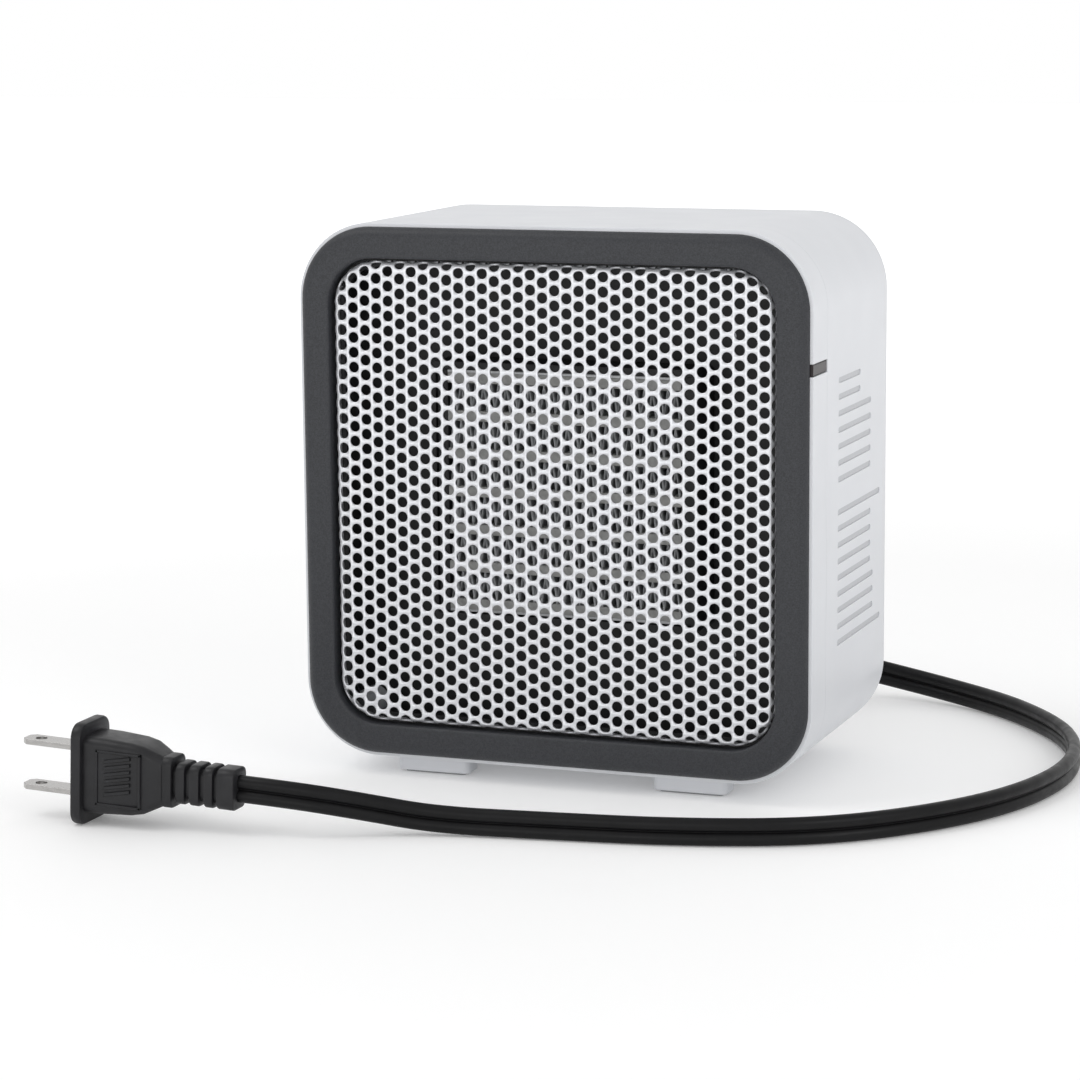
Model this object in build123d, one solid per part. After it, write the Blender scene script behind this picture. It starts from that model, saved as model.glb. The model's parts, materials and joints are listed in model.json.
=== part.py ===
from build123d import *
import math
import os

# Compact ceramic fan heater, millimetres. +Z up, the front faces -Y, the floor is Z = 0.
# X = 0 and Y = 0 are the middle of the heater without its cord.

# ---- driving dimensions -------------------------------------------------------------------

# casing
BODY_W = 152.0
BODY_H = 154.0
BODY_DEPTH = 82.0
CORNER_R = 22.0
WALL = 2.2
FIT = 0.15
MOVING_GAP = 0.3
FOOT_H = 5.5

# front bezel and front ring
BEZEL_T = 3.0
BEZEL_INSET = 1.0
BEZEL_RING_W = 8.8
BEZEL_EDGE_R = 2.9
BEZEL_LIP_R = 0.8
OPENING_R = 13.5
SKIRT_T = 1.4
SKIRT_GAP = 0.1
RING_DEPTH = 14.0
FLANGE_T = 2.4
TAB_W = 30.0
TAB_T = 1.4
TAB_REACH = 3.0

# perforated grille
GRILLE_T = 0.6
GRILLE_RECESS = 1.6
GRILLE_ROLL = 3.9
GRILLE_EDGE_R = 2.2
GRILLE_GAP = 0.8
GRILLE_PLAIN = 2.4
HOLE_R = 1.58
HOLE_PITCH_Z = 4.24
HOLE_PITCH_X = 3.58
HOLE_LAND = 0.25
RETAINER_T = 2.0
RETAINER_LAP = 2.0
PEG_R = 1.5
PEG_END = 0.4
PEG_INSET = 2.6

# shallow side grooves: (grooves, length) from the top down, None is one groove left out
GROOVE_H = 1.7
GROOVE_DEPTH = 0.35
GROOVE_PITCH = 4.65
GROOVE_BEHIND_SEAM = 11.5
GROOVE_TOP_UP = 33.8
GROOVE_ROWS = [(2, 23.0), (5, 34.5), None, (1, 45.0), (4, 35.0), (3, 38.0), (1, 46.0)]

# indicator window in the right side of the front ring
LENS_H = 3.2
LENS_UP = 39.4
LENS_INSIDE = 0.1
LENS_SUNK = 0.2
LENS_EDGE_R = 0.4
LAMP_R = 2.0
LAMP_L = 8.0
LAMP_GAP = 0.4
LAMP_BASE_L = 2.0

# rear cover
COVER_T = 2.5
COVER_EDGE_R = 2.2
COVER_LIP_T = 1.6
COVER_LIP_L = 3.0
INTAKE_ROWS = 19
INTAKE_COLUMNS = 4
INTAKE_SLOT_H = 2.6
INTAKE_SLOT_W = 20.0
INTAKE_PITCH = 4.65
INTAKE_BAR = 3.4
BOSS_R = 4.0
WELL_R = 3.2
WELL_WALL = 1.0
WELL_FLOOR = 3.0
BOSS_INSET = 15.2
BOSS_RIB_L = CORNER_R - WALL / 2 - BOSS_INSET
BOSS_RIB_T = 3.0
SCREW_R = 1.5
SCREW_HEAD_R = 2.8
SCREW_HEAD_H = 2.0
SCREW_BITE = 13.0
SCREW_SLOT_L = 3.2
SCREW_SLOT_W = 0.7
SCREW_SLOT_D = 1.0

# feet
FOOT_W = 22.0
FOOT_D = 9.0
FOOT_X = 39.0
FOOT_FRONT_Y = -28.9
FOOT_REAR_Y = 28.9
FOOT_CORNER_R = 2.0
FOOT_EDGE_R = 0.6
SPIGOT_R = 2.5
SPIGOT_UP = 1.8
PAD_T = 1.2
PAD_PROUD = 0.6
PAD_MARGIN = 1.6
PAD_CORNER_R = 1.2

# heater core
PTC_W = 76.0
PTC_H = 70.0
PTC_D = 12.0
PTC_BEHIND_FRONT = 13.0
PTC_ROWS = 6
BAR_H = 3.0
END_PLATE_T = 0.8
FIN_PITCH = 1.6
FIN_T = 0.3
SIDE_FRAME_W = 3.0
COLLAR_GAP = 0.3
COLLAR_T = 2.0
COLLAR_LIP = 1.0
CORE_STOP = 1.5
BAFFLE_T = 2.0
BAFFLE_BEHIND_FRONT = 27.0
PLENUM_W = 104.0
PLENUM_T = 1.8
PLENUM_D = 4.0
PLENUM_CORNER_R = 8.0
DUCT_BOSS_R = 4.0
DUCT_BOSS_INSET = 6.5
DUCT_SCREW_R = 1.25
DUCT_SCREW_L = 5.0
SENSOR_INSET = 16.0
CUTOFF_R = 7.0
CUTOFF_T = 5.0
CUTOFF_BUTTON_R = 4.0
CUTOFF_BUTTON_T = 1.4
CUTOFF_TAG_W = 4.8
CUTOFF_TAG_T = 0.8
CUTOFF_TAG_REACH = 9.5
FUSE_R = 2.0
FUSE_L = 12.0
FUSE_WIRE_R = 0.5
FUSE_WIRE_L = 28.0

# fan and motor
DUCT_R = 43.0
DUCT_T = 2.0
DUCT_D = 20.0
DUCT_FLANGE_T = 2.0
TIP_GAP = 2.0
HUB_R = 13.0
HUB_EDGE_R = 2.5
HUB_WALL = 1.6
HUB_FACE_T = 2.0
HUB_BOSS_R = 3.6
IMPELLER_D = 13.0
IMPELLER_GAP = 3.0
BLADES = 7
BLADE_T = 1.5
BLADE_ANGLE = 38.0
MOTOR_R = 14.0
MOTOR_D = 20.0
CAN_T = 1.0
SHAFT_R = 1.15
BEARING_GAP = 0.05
BUSH_R = 3.0
BUSH_D = 3.0
ROTOR_R = 9.5
ROTOR_D = 11.0
MAGNET_T = 2.6
STRUTS = 4
STRUT_W = 5.0
PLATE_T = 2.2
PLATE_MARGIN = 3.0
PLATE_BORE_GAP = 1.0
MOTOR_SCREW_R = 1.0
MOTOR_SCREW_L = 3.0
MOTOR_SCREW_OUT = 0.62
SCREW_HEAD_RATIO = 1.9
CAN_EDGE_R = 1.2
END_CAP_T = 2.0
ROTOR_SLOT_W = 1.6
ROTOR_CORE_R = 4.5
COMMUTATOR_R = 3.0
COMMUTATOR_T = 1.5
MAGNET_GAP_W = 7.0
MAGNET_BACK = 2.6

# power switch in the rear cover
SWITCH_DOWN = 16.0
SWITCH_W = 19.0
SWITCH_H = 12.8
SWITCH_D = 16.0
SWITCH_LIP = 1.2
SWITCH_LIP_T = 1.2
POCKET_D = 3.0
POCKET_MARGIN = 2.6
POCKET_WALL = 2.0
POCKET_FLOOR = 2.5
ROCKER_L = 14.6
ROCKER_W = 9.4
ROCKER_REST = 8.0
ROCKER_END_GAP = 0.6
ROCKER_SINK = 1.6
ROCKER_TOP = 3.0
ROCKER_HOLLOW = 1.55
ROCKER_SHOULDER = 0.6
ROCKER_BOTTOM = 3.6
SWITCH_MOUTH_D = 5.4
TERMINAL_TAG_W = 4.8
TERMINAL_TAG_T = 0.8
TERMINAL_TAG_L = 7.0
TERMINAL_TAG_X = 5.0
TRUNNION_R = 1.0
TRUNNION_L = 0.8

# tip-over switch in the base
PLUNGER_BEHIND_DUCT = 4.5
PLUNGER_R = 3.0
PLUNGER_LIFT = 0.2
COLLAR_R = 4.3
COLLAR_H = 1.5
PLUNGER_TRAVEL = 4.0
STEM_R = 2.0
STEM_CLEAR = 1.6
GUIDE_TOP_Z = 23.5
GUIDE_T = 1.4
SPRING_WIRE_R = 0.3
SPRING_TURNS = 6
SPRING_GAP = 0.5
SPRING_SLACK = 0.05
LEVER_REACH = 12.0
LEVER_T = 0.5
LEVER_W = 4.0
EYE_R = 1.2
PIN_R = 0.6
MICROSWITCH_L = 20.0
MICROSWITCH_H = 7.6
MICROSWITCH_W = 6.4
MICROSWITCH_EDGE_R = 0.8
MICROSWITCH_PAST_PIVOT = 4.0
LEVER_PAST_STEM = 1.0
EYE_DROP = 0.45
BRACKET_T = 1.6
BRACKET_FOOT_L = 9.0
BRACKET_ARM_H = 4.0
BRACKET_ARM_DOWN = 2.0
BRACKET_ARM_INSET = 1.0

# wiring inside
BOARD_X = -56.0
BOARD_Y = 30.0
BOARD_Z = 13.0
BOARD_W = 40.0
BOARD_H = 20.0
BOARD_T = 1.6
BOARD_POST_R = 2.2
BOARD_POST_INSET = 4.0
CAPACITOR_R = 4.0
CAPACITOR_L = 8.0
CHOKE_SIZE = (8.0, 6.0, 10.0)
DIODE_SIZE = (4.0, 2.5, 7.0)
COMPONENT_UP = 2.0
CAPACITOR_ALONG = 7.0
CHOKE_ALONG = 15.0
DIODES_ALONG = (26.0, 32.0)
TERMINAL_X = 29.0
TERMINAL_Y = 8.0
TERMINAL_PITCH = 6.0
TERMINAL_D = 9.0
TERMINAL_H = 10.0
TERMINAL_WELL_R = 1.8
TERMINAL_WELL_D = 5.0
LEAD_R = 1.0
LEAD_BEND = 4.0

# mains lead and plug
GLAND_X = 25.0
GLAND_Z = 20.0
GLAND_R = 6.2
GLAND_TIP_R = 4.9
GLAND_REACH = 20.0
GLAND_RINGS = 4
GLAND_RING_GAP = 1.4
GLAND_RING_PITCH = 4.0
GLAND_RING_D = 0.5
GLAND_ROOT = 1.0
GLAND_COLLAR = 1.6
CORD_D = 7.6
CORD_LIE_Z = 3.9
FLANGE_H = 28.4
FLANGE_W = 17.6
FLANGE_CORNER_R = 4.0
FLANGE_EDGE_R = 0.7
PLUG_FLANGE_T = 3.2
PLUG_BODY_L = 22.4
RELIEF_L = 21.4
PLUG_CORNER_R = 3.2
# (share of the body's length, width, height)
PLUG_SECTIONS = [(0.0, 14.2, 21.6), (0.6, 13.4, 20.2), (1.0, 9.6, 13.6)]
RELIEF_W = 8.6
RELIEF_H = 11.4
RELIEF_CORNER_R = 2.6
RELIEF_CORE_W = 6.4
RELIEF_CORE_H = 9.0
RELIEF_CORE_R = 2.2
# (distance behind the body, length) of the grooves between the relief's ribs
RELIEF_GROOVES = [(3.0, 1.0), (6.8, 1.3), (11.1, 1.4), (15.2, 1.1)]
ROOT = 0.5
PLUG_TIP_UP = 2.4
BLADE_L = 18.0
BLADE_W = 6.3
BLADE_THICK = 1.5
BLADE_SPACING = 12.7
BLADE_POINT = 1.4
BLADE_HOLE_R = 1.6
BLADE_HOLE_IN = 4.6

# ---- places worked out from the driving dimensions -----------------------------------------

Y_FRONT = -BODY_DEPTH / 2
Y_BACK = BODY_DEPTH / 2
Y_RING = Y_FRONT + BEZEL_T
Y_SEAM = Y_RING + RING_DEPTH
Y_COVER = Y_BACK - COVER_T
Y_GRILLE = Y_FRONT + GRILLE_RECESS
Y_RETAINER = Y_GRILLE + GRILLE_ROLL
Y_PTC = Y_FRONT + PTC_BEHIND_FRONT
Y_BAFFLE = Y_FRONT + BAFFLE_BEHIND_FRONT
Y_BAFFLE_BACK = Y_BAFFLE + BAFFLE_T
Y_DUCT = Y_BAFFLE_BACK + PLENUM_D
Y_IMPELLER = Y_DUCT + IMPELLER_GAP
Y_PLATE = Y_DUCT + DUCT_D - PLATE_T
Y_MOTOR = Y_DUCT + DUCT_D
Y_MOTOR_BACK = Y_MOTOR + MOTOR_D

Z_MID = FOOT_H + BODY_H / 2
Z_FLOOR_IN = FOOT_H + WALL
LENS_Z = Z_MID + LENS_UP
LENS_T = WALL + LENS_INSIDE
GROOVE_FRONT_Y = Y_SEAM + GROOVE_BEHIND_SEAM
GROOVE_TOP_Z = Z_MID + GROOVE_TOP_UP
SWITCH_Z = FOOT_H + BODY_H - SWITCH_DOWN
PLUNGER_Y = Y_MOTOR + PLUNGER_BEHIND_DUCT
STEM_TOP_Z = GUIDE_TOP_Z + PLUNGER_TRAVEL + STEM_CLEAR
OPENING_W = BODY_W - 2 * (BEZEL_INSET + BEZEL_RING_W)
OPENING_H = BODY_H - 2 * (BEZEL_INSET + BEZEL_RING_W)
BOSS_X = BODY_W / 2 - CORNER_R + BOSS_INSET / math.sqrt(2)
BOSS_DZ = BODY_H / 2 - CORNER_R + BOSS_INSET / math.sqrt(2)
BOSS_PLACES = [(sx * BOSS_X, Z_MID + sz * BOSS_DZ) for sx in (-1, 1) for sz in (-1, 1)]
BOSS_FRONT_Y = Y_RETAINER + RETAINER_T + FIT

# route of the mains lead from the gland to the plug, chosen by hand
CORD_POINTS = [
    (25.0, 61.0, 20.0),
    (25.0, 79.0, 20.0),
    (34.5, 97.5, 15.0),
    (55.5, 108.0, 8.4),
    (84.5, 103.5, 4.1),
    (108.5, 84.0, CORD_LIE_Z),
    (130.0, 53.5, CORD_LIE_Z),
    (138.0, 18.0, CORD_LIE_Z),
    (132.5, -17.5, CORD_LIE_Z),
    (116.5, -48.0, CORD_LIE_Z),
    (89.5, -75.0, CORD_LIE_Z),
    (54.0, -87.5, CORD_LIE_Z),
    (17.0, -92.5, CORD_LIE_Z),
    (-12.0, -97.0, 4.2),
    (-30.0, -104.0, 8.0),
    (-46.5, -112.2, 11.75),
    (-62.6, -112.5, 12.42),
]
ARC_SHARE = 0.45


# ---- helpers ---------------------------------------------------------------------------------


def at_y(y, x=0, z=0):
    """Plane facing the front, whose own x and y are the heater's X and Z."""
    return Plane(origin=(x, y, z), x_dir=(1, 0, 0), z_dir=(0, -1, 0))


def slab(sketch, y_front, y_back):
    """A sketch in X and Z made solid from y_front to y_back."""
    return extrude(at_y(y_back) * sketch, amount=y_back - y_front)


def block(x0, x1, y0, y1, z0, z1):
    """A plain box between two corners."""
    middle = Pos((x0 + x1) / 2, (y0 + y1) / 2, (z0 + z1) / 2)
    return middle * Box(x1 - x0, y1 - y0, z1 - z0)


def rod_y(x, z, radius, y0, y1):
    """A round bar along Y."""
    return slab(Pos(x, z) * Circle(radius), y0, y1)


def rod_z(x, y, radius, z0, z1):
    """A round bar along Z."""
    return extrude(Plane.XY.offset(z0) * Pos(x, y) * Circle(radius), amount=z1 - z0)


def casing_outline(inset):
    """The casing's rounded outline, inset on every side."""
    width = BODY_W - 2 * inset
    height = BODY_H - 2 * inset
    return Pos(0, Z_MID) * RectangleRounded(width, height, CORNER_R - inset)


def opening_outline(outset):
    """The bezel opening's outline, grown on every side."""
    width = OPENING_W + 2 * outset
    height = OPENING_H + 2 * outset
    return Pos(0, Z_MID) * RectangleRounded(width, height, OPENING_R + outset)


def front_face(solid):
    return solid.faces().sort_by(Axis.Y)[0]


def back_face(solid):
    return solid.faces().sort_by(Axis.Y)[-1]


def together(pieces):
    """Several loose pieces in one node."""
    solids = []
    for piece in pieces:
        solids.extend(piece.solids())
    return Compound(solids)


# ---- front -----------------------------------------------------------------------------------


def make_bezel():
    plate = slab(casing_outline(BEZEL_INSET) - opening_outline(0), Y_FRONT, Y_RING)
    plate = fillet(front_face(plate).outer_wire().edges(), BEZEL_EDGE_R)
    plate = fillet(front_face(plate).inner_wires()[0].edges(), BEZEL_LIP_R)
    skirt = slab(opening_outline(SKIRT_T) - opening_outline(0), Y_RING, Y_RETAINER - SKIRT_GAP)
    return plate + skirt


def grille_holes():
    """Centres of the staggered round holes that lie whole on the flat of the sheet."""
    reach = GRILLE_GAP + GRILLE_PLAIN + HOLE_R + HOLE_LAND
    half_w = OPENING_W / 2 - reach
    half_h = OPENING_H / 2 - reach
    bend = OPENING_R - reach
    columns = int(half_w // HOLE_PITCH_X) + 1
    rows = int(half_h // HOLE_PITCH_Z) + 1
    centres = []
    for column in range(-columns, columns):
        stagger = HOLE_PITCH_Z / 2 * (column % 2)
        for row in range(-rows, rows + 1):
            x = (column + 0.5) * HOLE_PITCH_X
            z = row * HOLE_PITCH_Z + stagger
            over_x = max(abs(x) - (half_w - bend), 0)
            over_z = max(abs(z) - (half_h - bend), 0)
            if math.hypot(over_x, over_z) <= bend:
                centres.append((x, Z_MID + z))
    return centres


def make_grille():
    back = Y_GRILLE + GRILLE_ROLL
    pan = slab(opening_outline(-GRILLE_GAP), Y_GRILLE, back)
    pan = fillet(front_face(pan).outer_wire().edges(), GRILLE_EDGE_R)
    hollow = slab(opening_outline(-GRILLE_GAP - GRILLE_T), Y_GRILLE + GRILLE_T, back)
    hollow = fillet(front_face(hollow).outer_wire().edges(), GRILLE_EDGE_R - GRILLE_T)
    flat = opening_outline(-GRILLE_GAP - GRILLE_PLAIN)
    rim = pan - hollow - slab(flat, Y_GRILLE, Y_GRILLE + GRILLE_T)
    back_y = Y_GRILLE + GRILLE_T
    border = (at_y(back_y) * flat).face().outer_wire()
    holes = [Wire.make_circle(HOLE_R, at_y(back_y, x, z)) for x, z in grille_holes()]
    sheet = extrude(Face(border, holes), amount=GRILLE_T, dir=(0, -1, 0))
    return rim + sheet


def peg_places():
    """Where the front ring's pegs hold the grille retainer, in X and Z."""
    side = BODY_W / 2 - WALL - PEG_INSET
    top = BODY_H / 2 - WALL - PEG_INSET
    return [
        (-side, Z_MID),
        (side, Z_MID),
        (-OPENING_W / 4, Z_MID - top),
        (OPENING_W / 4, Z_MID - top),
        (-OPENING_W / 4, Z_MID + top),
        (OPENING_W / 4, Z_MID + top),
    ]


def make_retainer():
    inner = opening_outline(-GRILLE_GAP - RETAINER_LAP)
    frame = slab(casing_outline(WALL + FIT * 2) - inner, Y_RETAINER, Y_RETAINER + RETAINER_T)
    for x, z in peg_places():
        frame -= rod_y(x, z, PEG_R + FIT, Y_RETAINER, Y_RETAINER + RETAINER_T)
    return frame


def lens_block(gap):
    """The indicator window's block in the ring's right wall, grown by a gap."""
    x_out = BODY_W / 2
    low, high = LENS_Z - LENS_H / 2 - gap, LENS_Z + LENS_H / 2 + gap
    return x_out, low, high


def make_front_ring():
    ring = slab(casing_outline(0) - casing_outline(WALL), Y_RING, Y_SEAM)
    ring += slab(
        casing_outline(0) - opening_outline(SKIRT_T + FIT), Y_RING, Y_RING + FLANGE_T
    )
    for x, z in peg_places():
        ring += rod_y(x, z, PEG_R, Y_RING + FLANGE_T, Y_RETAINER + RETAINER_T + PEG_END)
    for x, z in BOSS_PLACES:
        ring += rod_y(x, z, BOSS_R, BOSS_FRONT_Y, Y_BAFFLE)
        away = math.copysign(1, x), math.copysign(1, z - Z_MID)
        half = BOSS_RIB_L / 2 / math.sqrt(2)
        rib = Pos(x + away[0] * half, z + away[1] * half) * Rot(0, 0, 45 * away[0] * away[1])
        ring += slab(rib * Rectangle(BOSS_RIB_L, BOSS_RIB_T), BOSS_FRONT_Y, Y_SEAM)
        ring -= rod_y(x, z, SCREW_R, Y_BAFFLE - SCREW_BITE, Y_BAFFLE)
    x_out, low, high = lens_block(FIT)
    ring -= block(x_out - LENS_T - FIT, x_out + 1, Y_RING, Y_SEAM, low, high)
    for x in (-FOOT_X, FOOT_X):
        ring -= rod_z(x, FOOT_FRONT_Y, SPIGOT_R, FOOT_H, Z_FLOOR_IN)
    return ring


def make_lens():
    x_out, low, high = lens_block(0)
    body = block(x_out - LENS_T, x_out - LENS_SUNK, Y_RING + FIT, Y_SEAM - FIT, low, high)
    outer = body.faces().sort_by(Axis.X)[-1]
    return fillet(outer.edges(), LENS_EDGE_R)


def make_lamp():
    y = (Y_RING + Y_SEAM) / 2
    x_bulb = BODY_W / 2 - LENS_T - LAMP_GAP - LAMP_L / 2
    x_base = x_bulb - LAMP_L / 2 - LAMP_BASE_L / 2
    bulb = Pos(x_bulb, y, LENS_Z) * Rot(0, 90, 0) * Cylinder(LAMP_R, LAMP_L)
    bulb = fillet(bulb.edges().sort_by(Axis.X)[-1], LAMP_R * 0.6)
    return bulb + Pos(x_base, y, LENS_Z) * Rot(0, 90, 0) * Cylinder(LAMP_R * 1.25, LAMP_BASE_L)


# ---- casing ----------------------------------------------------------------------------------


def side_grooves():
    """Every side groove as (middle Y, middle Z, length)."""
    grooves = []
    z = GROOVE_TOP_Z
    for group in GROOVE_ROWS:
        if group is None:
            z -= GROOVE_PITCH
            continue
        count, length = group
        for _ in range(count):
            grooves.append((GROOVE_FRONT_Y + length / 2, z, length))
            z -= GROOVE_PITCH
    return grooves


def make_shell():
    shell = slab(casing_outline(0) - casing_outline(WALL), Y_SEAM, Y_COVER)
    tabs = slab(
        casing_outline(WALL + FIT) - casing_outline(WALL + FIT + TAB_T),
        Y_SEAM - TAB_REACH,
        Y_SEAM + TAB_REACH,
    )
    root = slab(
        casing_outline(WALL / 2) - casing_outline(WALL + FIT + TAB_T), Y_SEAM, Y_SEAM + TAB_REACH
    )
    windows = Pos(0, Z_MID) * Rectangle(TAB_W, BODY_H) + Pos(0, Z_MID) * Rectangle(BODY_W, TAB_W)
    shell += (tabs + root) & slab(windows, Y_SEAM - TAB_REACH, Y_SEAM + TAB_REACH)
    for y, z, length in side_grooves():
        groove = Plane.YZ * Pos(y, z) * SlotOverall(length, GROOVE_H)
        whole = extrude(groove, amount=BODY_W / 2 + 1, both=True)
        shell -= whole - extrude(groove, amount=BODY_W / 2 - GROOVE_DEPTH, both=True)
    for x in (-FOOT_X, FOOT_X):
        shell -= rod_z(x, FOOT_REAR_Y, SPIGOT_R, FOOT_H, Z_FLOOR_IN)
    shell -= rod_z(0, PLUNGER_Y, PLUNGER_R + MOVING_GAP, FOOT_H, Z_FLOOR_IN)
    return shell


def make_foot(x, y):
    z0 = PAD_PROUD
    foot = block(x - FOOT_W / 2, x + FOOT_W / 2, y - FOOT_D / 2, y + FOOT_D / 2, z0, FOOT_H)
    foot = fillet(foot.edges().filter_by(Axis.Z), FOOT_CORNER_R)
    foot = fillet(foot.faces().sort_by(Axis.Z)[0].outer_wire().edges(), FOOT_EDGE_R)
    foot += rod_z(x, y, SPIGOT_R, FOOT_H, Z_FLOOR_IN + SPIGOT_UP)
    return foot - pad_block(x, y, PAD_PROUD, PAD_T)


def pad_block(x, y, z0, z1):
    half_w = FOOT_W / 2 - PAD_MARGIN
    half_d = FOOT_D / 2 - PAD_MARGIN
    pad = block(x - half_w, x + half_w, y - half_d, y + half_d, z0, z1)
    return fillet(pad.edges().filter_by(Axis.Z), PAD_CORNER_R)


def make_cover():
    cover = slab(casing_outline(0), Y_COVER, Y_BACK)
    cover = fillet(back_face(cover).outer_wire().edges(), COVER_EDGE_R)
    inner = WALL + FIT
    lip = casing_outline(inner) - casing_outline(inner + COVER_LIP_T)
    cover += slab(lip, Y_COVER - COVER_LIP_L, Y_COVER)
    pocket_y = Y_BACK - POCKET_D - POCKET_FLOOR
    cover += slab(switch_outline(POCKET_MARGIN + POCKET_WALL), pocket_y, Y_COVER)
    cover -= slab(switch_outline(POCKET_MARGIN), Y_BACK - POCKET_D, Y_BACK)
    cover -= slab(switch_outline(FIT), pocket_y, Y_BACK)
    cell_x = INTAKE_SLOT_W + INTAKE_BAR
    field = [
        Pos(px, Z_MID + pz) * SlotOverall(INTAKE_SLOT_W, INTAKE_SLOT_H)
        for px, pz in grid(cell_x, INTAKE_PITCH, INTAKE_COLUMNS, INTAKE_ROWS)
    ]
    cover -= slab(Sketch() + field, Y_COVER, Y_BACK)
    for x, z in BOSS_PLACES:
        cover += rod_y(x, z, WELL_R + WELL_WALL, Y_BAFFLE_BACK, Y_COVER)
        cover -= rod_y(x, z, WELL_R, Y_BAFFLE_BACK + WELL_FLOOR, Y_BACK)
        cover -= rod_y(x, z, SCREW_R + FIT, Y_BAFFLE_BACK, Y_BAFFLE_BACK + WELL_FLOOR)
    for x, z in board_post_places():
        cover += rod_y(x, z, BOARD_POST_R, BOARD_Y + BOARD_T, Y_COVER)
    return cover - rod_y(GLAND_X, GLAND_Z, GLAND_R, Y_COVER, Y_BACK)


def grid(step_x, step_z, columns, rows):
    """Centred grid of places."""
    return [
        ((column - (columns - 1) / 2) * step_x, (row - (rows - 1) / 2) * step_z)
        for column in range(columns)
        for row in range(rows)
    ]


def make_case_screws():
    screws = []
    for x, z in BOSS_PLACES:
        seat = Y_BAFFLE_BACK + WELL_FLOOR
        head = rod_y(x, z, SCREW_HEAD_R, seat, seat + SCREW_HEAD_H)
        head = fillet(back_face(head).edges(), SCREW_HEAD_H * 0.3)
        cross = Rectangle(SCREW_SLOT_L, SCREW_SLOT_W) + Rectangle(SCREW_SLOT_W, SCREW_SLOT_L)
        top = seat + SCREW_HEAD_H
        head -= slab(Pos(x, z) * cross, top - SCREW_SLOT_D, top)
        screws.append(head + rod_y(x, z, SCREW_R, Y_BAFFLE - SCREW_BITE + 1.0, seat))
    return together(screws)


# ---- heater core -----------------------------------------------------------------------------


def make_baffle():
    window_w = PTC_W + 2 * COLLAR_GAP
    window_h = PTC_H + 2 * COLLAR_GAP
    middle = Pos(0, Z_MID)
    window = middle * Rectangle(window_w, window_h)
    collar_outer = middle * RectangleRounded(
        window_w + 2 * COLLAR_T, window_h + 2 * COLLAR_T, COLLAR_T
    )
    baffle = slab(casing_outline(WALL + TAB_T + FIT * 2), Y_BAFFLE, Y_BAFFLE_BACK)
    baffle += slab(collar_outer, Y_PTC - COLLAR_LIP, Y_BAFFLE)
    stop = middle * Rectangle(window_w - 2 * CORE_STOP, window_h - 2 * CORE_STOP)
    baffle -= slab(window, Y_PTC - COLLAR_LIP, Y_PTC + PTC_D + COLLAR_GAP)
    baffle -= slab(stop, Y_PTC, Y_BAFFLE_BACK)
    plenum_in = PLENUM_W - 2 * PLENUM_T
    plenum = middle * RectangleRounded(PLENUM_W, PLENUM_W, PLENUM_CORNER_R)
    plenum -= middle * RectangleRounded(plenum_in, plenum_in, PLENUM_CORNER_R - PLENUM_T)
    baffle += slab(plenum, Y_BAFFLE_BACK, Y_DUCT)
    for x, z in duct_screw_places():
        baffle += rod_y(x, z, DUCT_BOSS_R, Y_BAFFLE_BACK, Y_DUCT)
        baffle -= rod_y(x, z, DUCT_SCREW_R, Y_BAFFLE, Y_DUCT)
    for x, z in BOSS_PLACES:
        baffle -= rod_y(x, z, SCREW_R + FIT, Y_BAFFLE, Y_BAFFLE_BACK)
    return baffle


def row_places():
    """Middle heights of the ceramic bars and of the fin rows between them."""
    inner = PTC_H - 2 * END_PLATE_T
    fin_h = (inner - (PTC_ROWS + 1) * BAR_H) / PTC_ROWS
    bottom = Z_MID - inner / 2
    step = BAR_H + fin_h
    bars = [bottom + BAR_H / 2 + i * step for i in range(PTC_ROWS + 1)]
    fins = [bottom + BAR_H + fin_h / 2 + i * step for i in range(PTC_ROWS)]
    return bars, fins, fin_h


def make_ceramic_bars():
    width = PTC_W - 2 * SIDE_FRAME_W
    bars = [
        block(-width / 2, width / 2, Y_PTC, Y_PTC + PTC_D, z - BAR_H / 2, z + BAR_H / 2)
        for z in row_places()[0]
    ]
    return together(bars)


def make_fins():
    width = PTC_W - 2 * SIDE_FRAME_W
    _, middles, fin_h = row_places()
    cells = int(width // FIN_PITCH)
    plane = at_y(Y_PTC + PTC_D)
    rows = []
    for z in middles:
        border = (plane * Pos(0, z) * Rectangle(width, fin_h)).face().outer_wire()
        holes = []
        for index in range(cells):
            x = (index - (cells - 1) / 2) * FIN_PITCH
            cell = plane * Pos(x, z) * Rectangle(FIN_PITCH - FIN_T, fin_h - 2 * FIN_T)
            holes.append(cell.face().outer_wire())
        rows.append(extrude(Face(border, holes), amount=PTC_D, dir=(0, -1, 0)))
    return together(rows)


def make_end_plates():
    width = PTC_W - 2 * SIDE_FRAME_W
    half = PTC_H / 2
    plates = [
        block(-width / 2, width / 2, Y_PTC, Y_PTC + PTC_D, z0, z0 + END_PLATE_T)
        for z0 in (Z_MID - half, Z_MID + half - END_PLATE_T)
    ]
    return together(plates)


def make_side_frames():
    half = PTC_H / 2
    frames = []
    for side in (-1, 1):
        x0, x1 = sorted((side * (PTC_W / 2 - SIDE_FRAME_W), side * PTC_W / 2))
        frames.append(block(x0, x1, Y_PTC, Y_PTC + PTC_D, Z_MID - half, Z_MID + half))
    return together(frames)


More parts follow.
